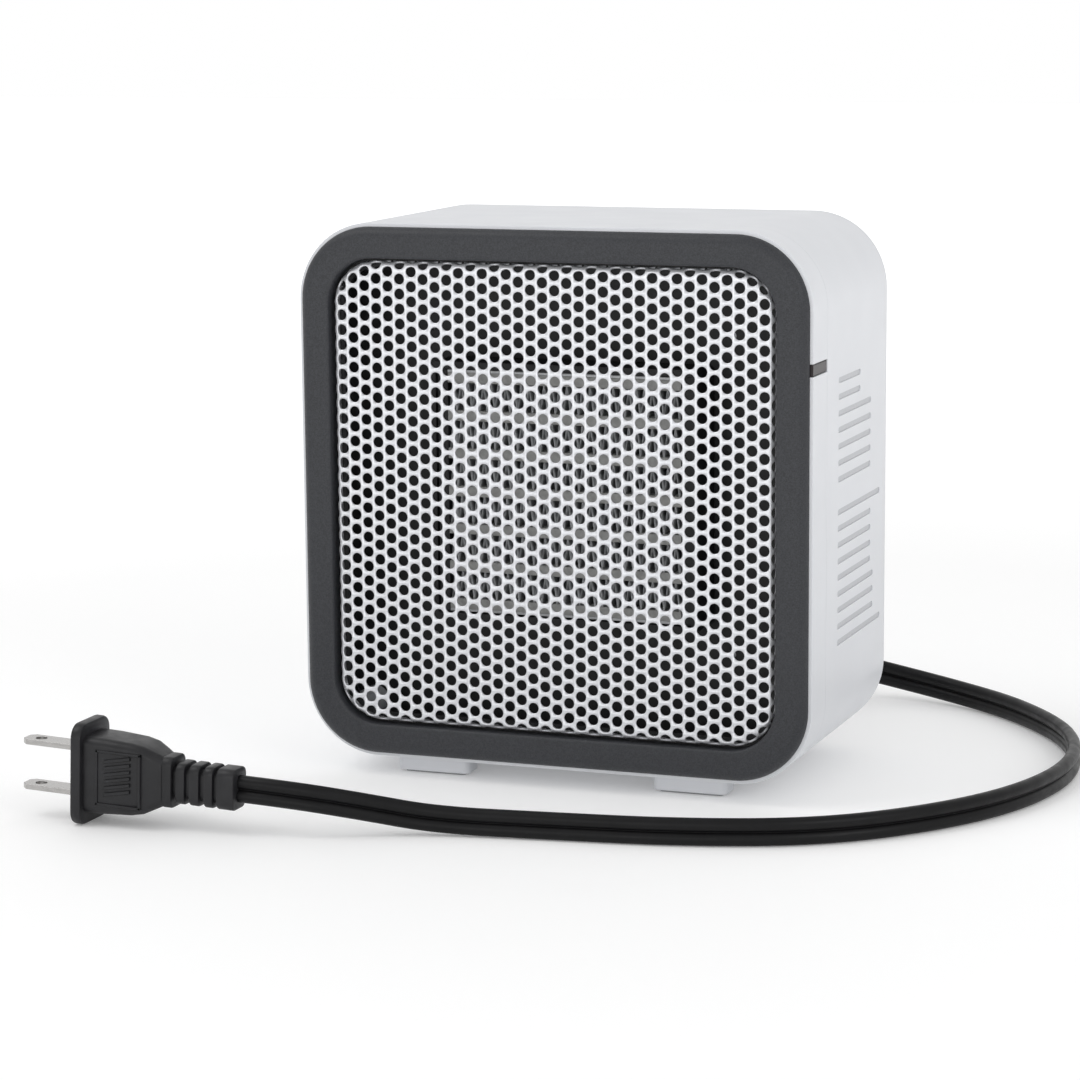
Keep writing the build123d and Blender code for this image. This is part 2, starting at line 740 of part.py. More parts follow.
def make_cutoff():
    x = BODY_W / 2 - SENSOR_INSET
    y1 = Y_BAFFLE_BACK + CUTOFF_T
    disc = rod_y(x, Z_MID, CUTOFF_R, Y_BAFFLE_BACK, y1)
    disc += rod_y(x, Z_MID, CUTOFF_BUTTON_R, y1, y1 + CUTOFF_BUTTON_T)
    half = CUTOFF_TAG_W / 2
    tag_y = Y_BAFFLE_BACK + (CUTOFF_T - CUTOFF_TAG_T) / 2
    reach = CUTOFF_TAG_REACH
    return disc + block(x - half, x + half, tag_y, tag_y + CUTOFF_TAG_T, Z_MID - reach, Z_MID + reach)


def make_fuse():
    x = -(BODY_W / 2 - SENSOR_INSET)
    y = Y_BAFFLE_BACK + FUSE_R + 1.0
    fuse = rod_z(x, y, FUSE_R, Z_MID - FUSE_L / 2, Z_MID + FUSE_L / 2)
    return fuse + rod_z(x, y, FUSE_WIRE_R, Z_MID - FUSE_WIRE_L / 2, Z_MID + FUSE_WIRE_L / 2)


# ---- fan and motor ---------------------------------------------------------------------------


def duct_screw_places():
    reach = PLENUM_W / 2 - DUCT_BOSS_INSET
    return [(sx * reach, Z_MID + sz * reach) for sx in (-1, 1) for sz in (-1, 1)]


def motor_screw_places():
    return [(sx * MOTOR_R * MOTOR_SCREW_OUT, Z_MID) for sx in (-1, 1)]


def make_duct():
    middle = Pos(0, Z_MID)
    flange = middle * RectangleRounded(PLENUM_W, PLENUM_W, PLENUM_CORNER_R)
    flange -= middle * Circle(DUCT_R)
    duct = slab(flange, Y_DUCT, Y_DUCT + DUCT_FLANGE_T)
    tube = middle * Circle(DUCT_R + DUCT_T) - middle * Circle(DUCT_R)
    duct += slab(tube, Y_DUCT, Y_MOTOR)
    spokes = Sketch() + [
        middle * Rot(0, 0, 45 + i * 360 / STRUTS) * Pos((DUCT_R + 1) / 2, 0)
        * Rectangle(DUCT_R + 1, STRUT_W)
        for i in range(STRUTS)
    ]
    plate = spokes + middle * Circle(MOTOR_R + PLATE_MARGIN)
    duct += slab(plate, Y_PLATE, Y_MOTOR)
    duct -= rod_y(0, Z_MID, BUSH_R + PLATE_BORE_GAP, Y_PLATE, Y_MOTOR)
    for x, z in duct_screw_places():
        duct -= rod_y(x, z, DUCT_SCREW_R, Y_DUCT, Y_DUCT + DUCT_FLANGE_T)
    for x, z in motor_screw_places():
        duct -= rod_y(x, z, MOTOR_SCREW_R, Y_PLATE, Y_MOTOR)
    return duct


def round_screw(x, z, radius, seat_y, length, head_side):
    """A round-head screw along Y. head_side is 1 with the head towards the back."""
    tip_y = seat_y - head_side * length
    head_y = seat_y + head_side * radius * 1.2
    shank = rod_y(x, z, radius, min(seat_y, tip_y), max(seat_y, tip_y))
    return shank + rod_y(x, z, radius * SCREW_HEAD_RATIO, min(seat_y, head_y), max(seat_y, head_y))


def make_duct_screws():
    seat = Y_DUCT + DUCT_FLANGE_T
    return together(
        round_screw(x, z, DUCT_SCREW_R, seat, DUCT_SCREW_L, 1) for x, z in duct_screw_places()
    )


def make_motor_screws():
    return together(
        round_screw(x, z, MOTOR_SCREW_R, Y_PLATE, MOTOR_SCREW_L, -1) for x, z in motor_screw_places()
    )


def make_impeller():
    y0, y1 = Y_IMPELLER, Y_IMPELLER + IMPELLER_D
    tip_r = DUCT_R - TIP_GAP
    hub = rod_y(0, Z_MID, HUB_R, y0, y1)
    hub = fillet(front_face(hub).edges(), HUB_EDGE_R)
    hollow = Pos(0, Z_MID) * (Circle(HUB_R - HUB_WALL) - Circle(HUB_BOSS_R))
    hub -= slab(hollow, y0 + HUB_FACE_T, y1)
    length = tip_r - HUB_R + 4.0
    blade_box = Pos(HUB_R - 1.0 + length / 2, 0, 0) * Rot(BLADE_ANGLE, 0, 0)
    blade = blade_box * Box(length, BLADE_T, 2.2 * IMPELLER_D)
    sweep_ring = rod_y(0, 0, tip_r, -IMPELLER_D / 2 + 0.5, IMPELLER_D / 2 - 0.5)
    sweep_ring -= rod_y(0, 0, HUB_R - 0.8, -IMPELLER_D / 2, IMPELLER_D / 2)
    blade = blade & sweep_ring
    wheel = hub
    for index in range(BLADES):
        turned = Rot(0, index * 360 / BLADES, 0) * blade
        wheel += Pos(0, (y0 + y1) / 2, Z_MID) * turned
    return wheel - rod_y(0, Z_MID, SHAFT_R, y0 + 1.5, y1)


def make_shaft():
    shaft = rod_y(0, Z_MID, SHAFT_R, Y_IMPELLER + 1.5, Y_MOTOR_BACK)
    return chamfer(shaft.edges().sort_by(Axis.Y)[-1], 0.3)


def make_rotor():
    y0 = Y_MOTOR + CAN_T + BUSH_D
    core = Circle(ROTOR_R) - Circle(SHAFT_R)
    for index in range(3):
        slot = Rectangle(2 * (ROTOR_R - ROTOR_CORE_R), ROTOR_SLOT_W)
        core -= Rot(0, 0, index * 120) * Pos(ROTOR_R, 0) * slot
    rotor = slab(Pos(0, Z_MID) * core, y0, y0 + ROTOR_D)
    commutator = Pos(0, Z_MID) * (Circle(COMMUTATOR_R) - Circle(SHAFT_R))
    return rotor + slab(commutator, y0 + ROTOR_D, y0 + ROTOR_D + COMMUTATOR_T)


def make_can():
    y1 = Y_MOTOR_BACK - END_CAP_T
    can = rod_y(0, Z_MID, MOTOR_R, Y_MOTOR, y1)
    can = fillet(front_face(can).edges(), CAN_EDGE_R)
    can -= rod_y(0, Z_MID, MOTOR_R - CAN_T, Y_MOTOR + CAN_T, y1)
    can -= rod_y(0, Z_MID, BUSH_R, Y_MOTOR, Y_MOTOR + CAN_T)
    for x, z in motor_screw_places():
        can -= rod_y(x, z, MOTOR_SCREW_R, Y_MOTOR, Y_MOTOR + CAN_T)
    return can


def make_magnets():
    outer = MOTOR_R - CAN_T
    ring = Circle(outer) - Circle(outer - MAGNET_T) - Rectangle(2 * MOTOR_R, MAGNET_GAP_W)
    y0 = Y_MOTOR + CAN_T + MAGNET_BACK
    return together([slab(Pos(0, Z_MID) * ring, y0, y0 + ROTOR_D)])


def make_end_cap():
    y0 = Y_MOTOR_BACK - END_CAP_T
    cap = rod_y(0, Z_MID, MOTOR_R, y0, Y_MOTOR_BACK)
    return cap - rod_y(0, Z_MID, BUSH_R, y0, Y_MOTOR_BACK)


def make_bushes():
    bore = SHAFT_R + BEARING_GAP
    ring = Pos(0, Z_MID) * (Circle(BUSH_R) - Circle(bore))
    front = slab(ring, Y_MOTOR, Y_MOTOR + BUSH_D)
    rear = slab(ring, Y_MOTOR_BACK - END_CAP_T, Y_MOTOR_BACK)
    return together([front, rear])


# ---- power switch ----------------------------------------------------------------------------


def switch_outline(grow):
    width = SWITCH_W + 2 * grow
    height = SWITCH_H + 2 * grow
    return Pos(0, SWITCH_Z) * RectangleRounded(width, height, 1.0 + grow / 2)


SWITCH_SEAT_Y = Y_BACK - POCKET_D
ROCKER_Y = SWITCH_SEAT_Y - ROCKER_SINK


def make_switch_body():
    body = slab(switch_outline(0), SWITCH_SEAT_Y - SWITCH_D, SWITCH_SEAT_Y)
    body += slab(switch_outline(SWITCH_LIP), SWITCH_SEAT_Y, SWITCH_SEAT_Y + SWITCH_LIP_T)
    mouth_w = ROCKER_L + 2 * ROCKER_END_GAP
    mouth = Pos(0, SWITCH_Z) * Rectangle(mouth_w, ROCKER_W + 2 * MOVING_GAP)
    body -= slab(mouth, ROCKER_Y - SWITCH_MOUTH_D, SWITCH_SEAT_Y + SWITCH_LIP_T)
    reach = ROCKER_W / 2 + TRUNNION_L + BEARING_GAP
    return body - rod_z(0, ROCKER_Y, TRUNNION_R + BEARING_GAP, SWITCH_Z - reach, SWITCH_Z + reach)


def make_rocker():
    half = ROCKER_L / 2
    dip = (ROCKER_TOP - ROCKER_HOLLOW) / 7 + ROCKER_HOLLOW
    right = [
        (half * 0.4, dip), (half, ROCKER_TOP), (half, ROCKER_SHOULDER), (half * 0.35, -ROCKER_BOTTOM)
    ]
    left = [(-x, y) for x, y in reversed(right)]
    outline = Polyline((0, ROCKER_HOLLOW), *right, *left, (0, ROCKER_HOLLOW))
    profile = make_face(outline)
    rocker = extrude(Plane.XY * profile, amount=ROCKER_W / 2, both=True)
    reach = ROCKER_W / 2 + TRUNNION_L
    rocker += rod_z(0, 0, TRUNNION_R, -reach, reach)
    return Pos(0, ROCKER_Y, SWITCH_Z) * Rot(0, 0, -ROCKER_REST) * rocker


def make_switch_terminals():
    y1 = SWITCH_SEAT_Y - SWITCH_D
    half_t, half_w = TERMINAL_TAG_T / 2, TERMINAL_TAG_W / 2
    return together(
        block(x - half_t, x + half_t, y1 - TERMINAL_TAG_L, y1, SWITCH_Z - half_w, SWITCH_Z + half_w)
        for x in (-TERMINAL_TAG_X, TERMINAL_TAG_X)
    )


# ---- tip-over switch -------------------------------------------------------------------------


def make_plunger():
    collar_z = Z_FLOOR_IN + MOVING_GAP + PLUNGER_TRAVEL
    button = rod_z(0, PLUNGER_Y, PLUNGER_R, PLUNGER_LIFT, collar_z)
    button = fillet(button.edges().sort_by(Axis.Z)[0], 1.0)
    collar = rod_z(0, PLUNGER_Y, COLLAR_R, collar_z, collar_z + COLLAR_H)
    dome_z = STEM_TOP_Z - STEM_R
    stem = rod_z(0, PLUNGER_Y, STEM_R, collar_z + COLLAR_H, dome_z)
    return button + collar + stem + Pos(0, PLUNGER_Y, dome_z) * Sphere(STEM_R)


def make_guide():
    outer = COLLAR_R + MOVING_GAP + GUIDE_T
    guide = rod_z(0, PLUNGER_Y, outer, Z_FLOOR_IN, GUIDE_TOP_Z)
    bore_top = GUIDE_TOP_Z - GUIDE_T
    guide -= rod_z(0, PLUNGER_Y, COLLAR_R + MOVING_GAP, Z_FLOOR_IN, bore_top)
    return guide - rod_z(0, PLUNGER_Y, STEM_R + MOVING_GAP, bore_top, GUIDE_TOP_Z)


def make_spring():
    z0 = Z_FLOOR_IN + MOVING_GAP + PLUNGER_TRAVEL + COLLAR_H
    z1 = GUIDE_TOP_Z - GUIDE_T
    radius = COLLAR_R - SPRING_WIRE_R - SPRING_GAP
    height = z1 - z0 - 2 * (SPRING_WIRE_R + SPRING_SLACK)
    coil = Helix(pitch=height / SPRING_TURNS, height=height, radius=radius)
    start = Plane(origin=coil @ 0, z_dir=coil % 0)
    wire = sweep(start * Circle(SPRING_WIRE_R), coil, is_frenet=True)
    return Pos(0, PLUNGER_Y, z0 + SPRING_WIRE_R + SPRING_SLACK) * wire


PIVOT_X = -LEVER_REACH
PIVOT_Z = STEM_TOP_Z + MOVING_GAP + LEVER_T / 2 + EYE_DROP
MICROSWITCH_X = PIVOT_X - MICROSWITCH_PAST_PIVOT
MICROSWITCH_Z = PIVOT_Z + EYE_R + 2 * MOVING_GAP


def make_lever():
    z0 = STEM_TOP_Z + MOVING_GAP
    y0, y1 = PLUNGER_Y - LEVER_W / 2, PLUNGER_Y + LEVER_W / 2
    lever = block(PIVOT_X, STEM_R + LEVER_PAST_STEM, y0, y1, z0, z0 + LEVER_T)
    lever += slab(Pos(PIVOT_X, PIVOT_Z) * Circle(EYE_R), y0, y1)
    return lever - slab(Pos(PIVOT_X, PIVOT_Z) * Circle(PIN_R + BEARING_GAP), y0, y1)


def make_microswitch():
    x1 = MICROSWITCH_X + MICROSWITCH_L
    y0, y1 = PLUNGER_Y - MICROSWITCH_W / 2, PLUNGER_Y + MICROSWITCH_W / 2
    body = block(MICROSWITCH_X, x1, y0, y1, MICROSWITCH_Z, MICROSWITCH_Z + MICROSWITCH_H)
    body = fillet(body.edges().filter_by(Axis.Y), MICROSWITCH_EDGE_R)
    gap = LEVER_W / 2 + MOVING_GAP
    ear_t = MICROSWITCH_W / 2 - gap
    ear_top = MICROSWITCH_Z + ROOT
    ear = Pos(PIVOT_X, PIVOT_Z) * Circle(EYE_R)
    ear += Pos(PIVOT_X, (PIVOT_Z + ear_top) / 2) * Rectangle(2 * EYE_R, ear_top - PIVOT_Z)
    for ear_y in (PLUNGER_Y - gap - ear_t, PLUNGER_Y + gap):
        body += slab(ear, ear_y, ear_y + ear_t)
    return body + slab(Pos(PIVOT_X, PIVOT_Z) * Circle(PIN_R), PLUNGER_Y - gap, PLUNGER_Y + gap)


def make_bracket():
    top = MICROSWITCH_Z + MICROSWITCH_H
    x0, x1 = MICROSWITCH_X, MICROSWITCH_X + MICROSWITCH_L
    y_switch = PLUNGER_Y + MICROSWITCH_W / 2
    y0 = PLUNGER_Y + COLLAR_R + MOVING_GAP + GUIDE_T + FIT
    upright = block(x0, x1, y0, y0 + BRACKET_T, Z_FLOOR_IN, top)
    foot = block(x0, x1, y0 + BRACKET_T, y0 + BRACKET_FOOT_L, Z_FLOOR_IN, Z_FLOOR_IN + BRACKET_T)
    arm_z = top - BRACKET_ARM_DOWN
    inset = BRACKET_ARM_INSET
    arm = block(x0 + inset, x1 - inset, y_switch, y0, arm_z - BRACKET_ARM_H, arm_z)
    return upright + foot + arm


# ---- wiring ----------------------------------------------------------------------------------


def make_board():
    return block(BOARD_X, BOARD_X + BOARD_W, BOARD_Y, BOARD_Y + BOARD_T, BOARD_Z, BOARD_Z + BOARD_H)


def on_board(along, size):
    """A component's block on the board's front face, its width, depth and height given."""
    x, z = BOARD_X + along, BOARD_Z + COMPONENT_UP
    return block(x, x + size[0], BOARD_Y - size[1], BOARD_Y, z, z + size[2])


def make_board_components():
    x, z = BOARD_X + CAPACITOR_ALONG, BOARD_Z + COMPONENT_UP + CAPACITOR_R + 2.0
    capacitor = rod_y(x, z, CAPACITOR_R, BOARD_Y - CAPACITOR_L, BOARD_Y)
    diodes = [on_board(along, DIODE_SIZE) for along in DIODES_ALONG]
    return together([capacitor, on_board(CHOKE_ALONG, CHOKE_SIZE), *diodes])


def board_post_places():
    """Where the rear cover's posts hold the board, in X and Z."""
    z = BOARD_Z + BOARD_H - BOARD_POST_INSET
    return [(BOARD_X + BOARD_POST_INSET, z), (BOARD_X + BOARD_W - BOARD_POST_INSET, z)]


def make_terminal_block():
    x1, y1 = TERMINAL_X + 4 * TERMINAL_PITCH, TERMINAL_Y + TERMINAL_D
    z1 = Z_FLOOR_IN + TERMINAL_H
    body = block(TERMINAL_X, x1, TERMINAL_Y, y1, Z_FLOOR_IN, z1)
    for index in (1, 2, 3):
        x = TERMINAL_X + index * TERMINAL_PITCH
        body -= rod_z(x, TERMINAL_Y + TERMINAL_D / 2, TERMINAL_WELL_R, z1 - TERMINAL_WELL_D, z1)
    return body


def lead(points):
    """An insulated wire along straight runs with rounded turns."""
    path = FilletPolyline(*points, radius=LEAD_BEND)
    start = Plane(origin=path @ 0, z_dir=path % 0)
    return sweep(start * Circle(LEAD_R), path)


def make_leads():
    terminal_y = TERMINAL_Y + TERMINAL_D / 2
    live_x = TERMINAL_X + 3 * TERMINAL_PITCH
    neutral_x = TERMINAL_X + 2 * TERMINAL_PITCH
    cutoff_x = BODY_W / 2 - SENSOR_INSET
    side_x = BODY_W / 2 - 12.0
    tag_y = SWITCH_SEAT_Y - SWITCH_D - 12.0
    to_cutoff = [
        (neutral_x, TERMINAL_Y + 9.1, Z_FLOOR_IN + 4.3),
        (neutral_x, 27.0, Z_FLOOR_IN + 4.3),
        (neutral_x, 27.0, 30.0),
        (side_x + 2.0, 27.0, 60.0),
        (side_x + 2.0, -3.0, Z_MID - 12.5),
        (cutoff_x, -3.0, Z_MID - 6.5),
    ]
    to_switch = [
        (live_x, terminal_y, Z_FLOOR_IN + 11.0),
        (live_x, terminal_y, 26.0),
        (side_x - 2.0, 20.0, 36.0),
        (side_x - 2.0, 20.0, SWITCH_Z - 15.5),
        (30.0, 16.0, SWITCH_Z - 2.5),
        (5.0, tag_y, SWITCH_Z),
    ]
    to_fuse = [
        (-5.0, tag_y, SWITCH_Z),
        (-30.0, tag_y, SWITCH_Z - 2.5),
        (-side_x + 2.0, tag_y, SWITCH_Z - 15.5),
        (-side_x + 2.0, 4.0, SWITCH_Z - 35.5),
    ]
    return together(lead(points) for points in (to_cutoff, to_switch, to_fuse))


# ---- mains lead and plug ---------------------------------------------------------------------


def make_gland():
    neck = rod_y(GLAND_X, GLAND_Z, GLAND_R, Y_COVER - FIT, Y_BACK)
    collar_r = GLAND_R + GLAND_COLLAR
    collar = rod_y(GLAND_X, GLAND_Z, collar_r, Y_COVER - FIT - GLAND_COLLAR, Y_COVER - FIT)
    seat = Plane(origin=(GLAND_X, Y_BACK, GLAND_Z), x_dir=(1, 0, 0), z_dir=(0, 1, 0))
    root = seat * Circle(GLAND_R + GLAND_ROOT)
    tail = loft([root, seat.offset(GLAND_REACH) * Circle(GLAND_TIP_R)])
    groove = Pos(GLAND_X, GLAND_Z) * (Circle(2 * GLAND_R) - Circle(GLAND_TIP_R - GLAND_RING_D))
    for index in range(GLAND_RINGS):
        y = Y_BACK + (index + 0.8) * GLAND_RING_PITCH
        tail -= slab(groove, y, y + GLAND_RING_GAP)
    return neck + collar + tail


def bend_radii(points):
    """One radius for each corner of the route: as large as its two runs allow."""
    corners = [Vector(*point) for point in points]
    radii = []
    for before, corner, after in zip(corners, corners[1:], corners[2:]):
        turn = math.radians((corner - before).get_angle(after - corner))
        run = min((corner - before).length, (after - corner).length)
        radii.append(ARC_SHARE * run / math.tan(turn / 2))
    return radii


def make_cord():
    radii = bend_radii(CORD_POINTS)
    path = FilletPolyline(*CORD_POINTS, radius=radii)
    start = Plane(origin=path @ 0, z_dir=path % 0)
    cord = sweep(start * Circle(CORD_D / 2), path)
    expected = math.pi * CORD_D**2 / 4 * path.length
    print("cord length", round(path.length, 1), "volume share", round(cord.volume / expected, 4))
    print("cord radii", [round(radius, 1) for radius in radii])
    return cord


def plug_place():
    """Where the plug lies: its cord end meets the route's last point, its pins point to -X."""
    end = CORD_POINTS[-1]
    length = PLUG_FLANGE_T + PLUG_BODY_L + RELIEF_L
    return Pos(*end) * Rot(0, PLUG_TIP_UP, 0) * Pos(-length, 0, 0)


def across_x(x):
    """Plane across the plug's axis, whose own x and y are the plug's width and height."""
    return Plane(origin=(x, 0, 0), x_dir=(0, 1, 0), z_dir=(1, 0, 0))


def make_plug_body():
    outline = RectangleRounded(FLANGE_W, FLANGE_H, FLANGE_CORNER_R)
    flange = extrude(across_x(0) * outline, amount=PLUG_FLANGE_T)
    ends = flange.edges().group_by(Axis.X)
    flange = fillet(ends[0] + ends[-1], FLANGE_EDGE_R)
    sections = [
        across_x(PLUG_FLANGE_T + share * PLUG_BODY_L) * RectangleRounded(width, height, PLUG_CORNER_R)
        for share, width, height in PLUG_SECTIONS
    ]
    relief_x = PLUG_FLANGE_T + PLUG_BODY_L
    ribs = RectangleRounded(RELIEF_W, RELIEF_H, RELIEF_CORNER_R)
    relief = extrude(across_x(relief_x - ROOT) * ribs, amount=RELIEF_L + ROOT)
    core = RectangleRounded(RELIEF_CORE_W, RELIEF_CORE_H, RELIEF_CORE_R)
    for behind, length in RELIEF_GROOVES:
        groove = across_x(relief_x + behind) * (Rectangle(2 * RELIEF_W, 2 * RELIEF_H) - core)
        relief -= extrude(groove, amount=length)
    return plug_place() * (flange + loft(sections, ruled=True) + relief)


def make_plug_blades():
    blades = []
    for side in (-1, 1):
        z = side * BLADE_SPACING / 2
        pin = block(-BLADE_L, 0, -BLADE_W / 2, BLADE_W / 2, z - BLADE_THICK / 2, z + BLADE_THICK / 2)
        tip = pin.faces().sort_by(Axis.X)[0]
        pin = chamfer(tip.edges().filter_by(Axis.Z), BLADE_POINT)
        pin -= Pos(-BLADE_L + BLADE_HOLE_IN, 0, z) * Cylinder(BLADE_HOLE_R, 2 * BLADE_THICK)
        blades.append(plug_place() * pin)
    return together(blades)


# ---- build and write -------------------------------------------------------------------------

FEET = {
    "front_left_foot": (-FOOT_X, FOOT_FRONT_Y),
    "front_right_foot": (FOOT_X, FOOT_FRONT_Y),
    "rear_left_foot": (-FOOT_X, FOOT_REAR_Y),
    "rear_right_foot": (FOOT_X, FOOT_REAR_Y),
}

NODES = {
    "front_bezel": make_bezel,
    "front_grille": make_grille,
    "grille_retainer": make_retainer,
    "front_ring": make_front_ring,
    "indicator_lens": make_lens,
    "indicator_lamp": make_lamp,
    "housing_shell": make_shell,
    "rear_cover": make_cover,
    "case_screws": make_case_screws,
    "heater_baffle": make_baffle,
    "ptc_ceramic_bars": make_ceramic_bars,
    "ptc_fins": make_fins,
    "ptc_end_plates": make_end_plates,
    "ptc_side_frames": make_side_frames,
    "thermal_cutoff": make_cutoff,
    "thermal_fuse": make_fuse,
    "fan_duct": make_duct,
    "duct_screws": make_duct_screws,
    "fan_impeller": make_impeller,
    "motor_shaft": make_shaft,
    "motor_rotor": make_rotor,
    "motor_can": make_can,
    "motor_magnets": make_magnets,
    "motor_end_cap": make_end_cap,
    "motor_bushes": make_bushes,
    "motor_screws": make_motor_screws,
    "switch_body": make_switch_body,
    "switch_rocker": make_rocker,
    "switch_terminals": make_switch_terminals,
    "tip_plunger": make_plunger,
    "plunger_guide": make_guide,
    "plunger_spring": make_spring,
    "microswitch_body": make_microswitch,
    "microswitch_lever": make_lever,
    "microswitch_bracket": make_bracket,
    "rectifier_board": make_board,
    "board_components": make_board_components,
    "terminal_block": make_terminal_block,
    "inner_leads": make_leads,
    "cord_gland": make_gland,
    "power_cord": make_cord,
    "plug_body": make_plug_body,
    "plug_blades": make_plug_blades,
}


def main():
    os.makedirs("parts", exist_ok=True)
    for name, make in NODES.items():
        export_step(make(), f"parts/{name}.step")
    for name, (x, y) in FEET.items():
        export_step(make_foot(x, y), f"parts/{name}.step")
        export_step(pad_block(x, y, 0, PAD_T), f"parts/{name}_pad.step")


if __name__ == "__main__":
    main()
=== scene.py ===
import json
import math

import bmesh
import bpy
from mathutils import Matrix, Vector


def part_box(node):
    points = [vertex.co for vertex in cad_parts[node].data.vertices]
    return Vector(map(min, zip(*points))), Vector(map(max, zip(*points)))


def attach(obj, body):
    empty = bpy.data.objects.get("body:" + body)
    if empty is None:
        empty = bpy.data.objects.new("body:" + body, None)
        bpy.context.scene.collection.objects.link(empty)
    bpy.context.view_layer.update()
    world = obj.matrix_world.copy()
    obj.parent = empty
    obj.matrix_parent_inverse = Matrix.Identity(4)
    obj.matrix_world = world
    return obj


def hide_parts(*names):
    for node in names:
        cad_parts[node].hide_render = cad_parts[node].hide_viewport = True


bl_info = {
    "name": "Ceramic Space Heater",
    "version": (1, 0, 0),
    "blender": (4, 5, 0),
    "location": "View3D > Sidebar > Heater",
    "description": "Builds the visible surfaces of a small ceramic fan heater around its working frame",
    "category": "Object",
}

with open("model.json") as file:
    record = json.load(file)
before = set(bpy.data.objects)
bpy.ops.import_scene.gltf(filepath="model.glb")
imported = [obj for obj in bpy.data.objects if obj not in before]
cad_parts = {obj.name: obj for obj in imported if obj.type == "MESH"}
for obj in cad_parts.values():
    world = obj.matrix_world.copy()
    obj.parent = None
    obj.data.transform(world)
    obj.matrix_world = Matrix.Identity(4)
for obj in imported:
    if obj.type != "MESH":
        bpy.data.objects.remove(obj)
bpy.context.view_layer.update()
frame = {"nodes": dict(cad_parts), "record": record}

MM = 0.001
MERGE = 1e-6


# ---- places that the working frame gives --------------------------------------------------------

BODY_LOW, BODY_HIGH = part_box("front_ring")
GRILLE_LOW, GRILLE_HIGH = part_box("front_grille")
MIDDLE_Z = (BODY_LOW.z + BODY_HIGH.z) / 2

# route of the mains lead from the gland to the plug, given in metres
LEAD_ROUTE = [
    (0.0250, 0.0610, 0.02),
    (0.0250, 0.0790, 0.02),
    (0.0345, 0.0975, 0.015),
    (0.0555, 0.1080, 0.0084),
    (0.0845, 0.1035, 0.0041),
    (0.1085, 0.0840, 0.0039),
    (0.1300, 0.0535, 0.0039),
    (0.1380, 0.0180, 0.0039),
    (0.1325, -0.0175, 0.0039),
    (0.1165, -0.0480, 0.0039),
    (0.0895, -0.0750, 0.0039),
    (0.0540, -0.0875, 0.0039),
    (0.0170, -0.0925, 0.0039),
    (-0.0120, -0.0970, 0.0042),
    (-0.0300, -0.1040, 0.008),
    (-0.0465, -0.1122, 0.01175),
    (-0.0626, -0.1125, 0.01242),
]


# the plug's cross sections along its axis in millimetres: (from the pins' side, width, height, corner)
FLANGE_SECTIONS = [
    (0.0, 16.2, 27.0, 3.4),
    (0.2, 17.2, 28.0, 3.8),
    (0.7, 17.6, 28.4, 4.0),
    (2.5, 17.6, 28.4, 4.0),
    (3.0, 17.2, 28.0, 3.8),
    (3.2, 16.2, 27.0, 3.4),
]
BODY_SECTIONS = [
    (2.6, 14.0, 21.4, 2.4),
    (9.0, 13.9, 21.2, 2.4),
    (17.0, 13.4, 20.2, 2.4),
    (20.5, 12.7, 18.8, 2.4),
    (23.4, 11.2, 16.0, 2.4),
    (25.8, 9.6, 13.6, 2.4),
]
RELIEF_SECTIONS = [(27.0, 6.4, 9.0, 2.2), (46.0, 6.4, 9.0, 2.2)]
COLLAR = (25.4, 28.6, 9.4, 14.2, 2.4)
RIBS = ((29.6, 32.4), (33.7, 36.7), (38.1, 40.8), (41.9, 47.0))
RIB_SIZE = (8.6, 11.4, 2.2)
RIB_EDGE = 0.45

# the finger grip on each side of the plug, in millimetres
GRIP_SIDE = 7.0
GRIP_START, GRIP_END = 7.0, 20.6
GRIP_REACH = 7.7
GRIP_INNER = 7.0
GRIP_LINE = 0.7
GRIP_PROUD, GRIP_SUNK = 0.3, 0.8
GRIP_CHAMFER, GRIP_RIM = 0.15, 0.12
GRIP_RIBS = 6
GRIP_RIB_START, GRIP_RIB_END = 9.6, 17.4
GRIP_RIB_LOW, GRIP_RIB_PITCH, GRIP_RIB_HALF = -4.6, 1.84, 0.5
GRIP_RIB_SLANT = 1.6

# edges with a sharper turn than this are rounded, and faces that turn less than this are one face
HARD_ANGLE = math.radians(32)
FLAT_ANGLE = math.radians(0.2)

# the shell's side grooves lie between these depths
GROOVES_FRONT_Y, GROOVES_BACK_Y = -0.014, 0.037
NEAR = 0.02 * MM

# the camera's place, and its yaw, pitch and roll in degrees
CAMERA_PLACE = (0.3251, -0.9094, 0.2311)
CAMERA_TURN = (20.66, 9.73, -0.49)
SENSOR = 36.0

# the studio: half the width of the paper, where the backdrop stands, and where the softboxes hang
PAPER_HALF = 5.0
BACKDROP_Y = 4.5
AIM = (0, 0, 0.08)
KEY_PLACE, KEY_SIZE = (-0.9, -0.55, 1.5), (0.9, 0.9)
FILL_PLACE, FILL_SIZE = (1.5, -0.9, 0.9), (0.9, 0.9)
FRONT_PLACE, FRONT_SIZE = (-0.1, -1.7, 0.3), (1.4, 0.5)
GLOW_FROM, GLOW_TO = 0.35, 1.4

# steps round a hole and round its tile
TILE_STEPS = 16


# ---- sizes and colours that a user can change ---------------------------------------------------


def length(name, description, default):
    return bpy.props.FloatProperty(
        name=name, description=description, default=default, min=0.0, precision=5, unit="LENGTH"
    )


def colour(name, description, default):
    return bpy.props.FloatVectorProperty(
        name=name, description=description, default=default, size=3, min=0.0, max=1.0, subtype="COLOR"
    )


def share(name, description, default):
    return bpy.props.FloatProperty(
        name=name, description=description, default=default, min=0.0, max=1.0, subtype="FACTOR"
    )


def power(name, description, default):
    return bpy.props.FloatProperty(
        name=name, description=description, default=default, min=0.0, unit="POWER"
    )


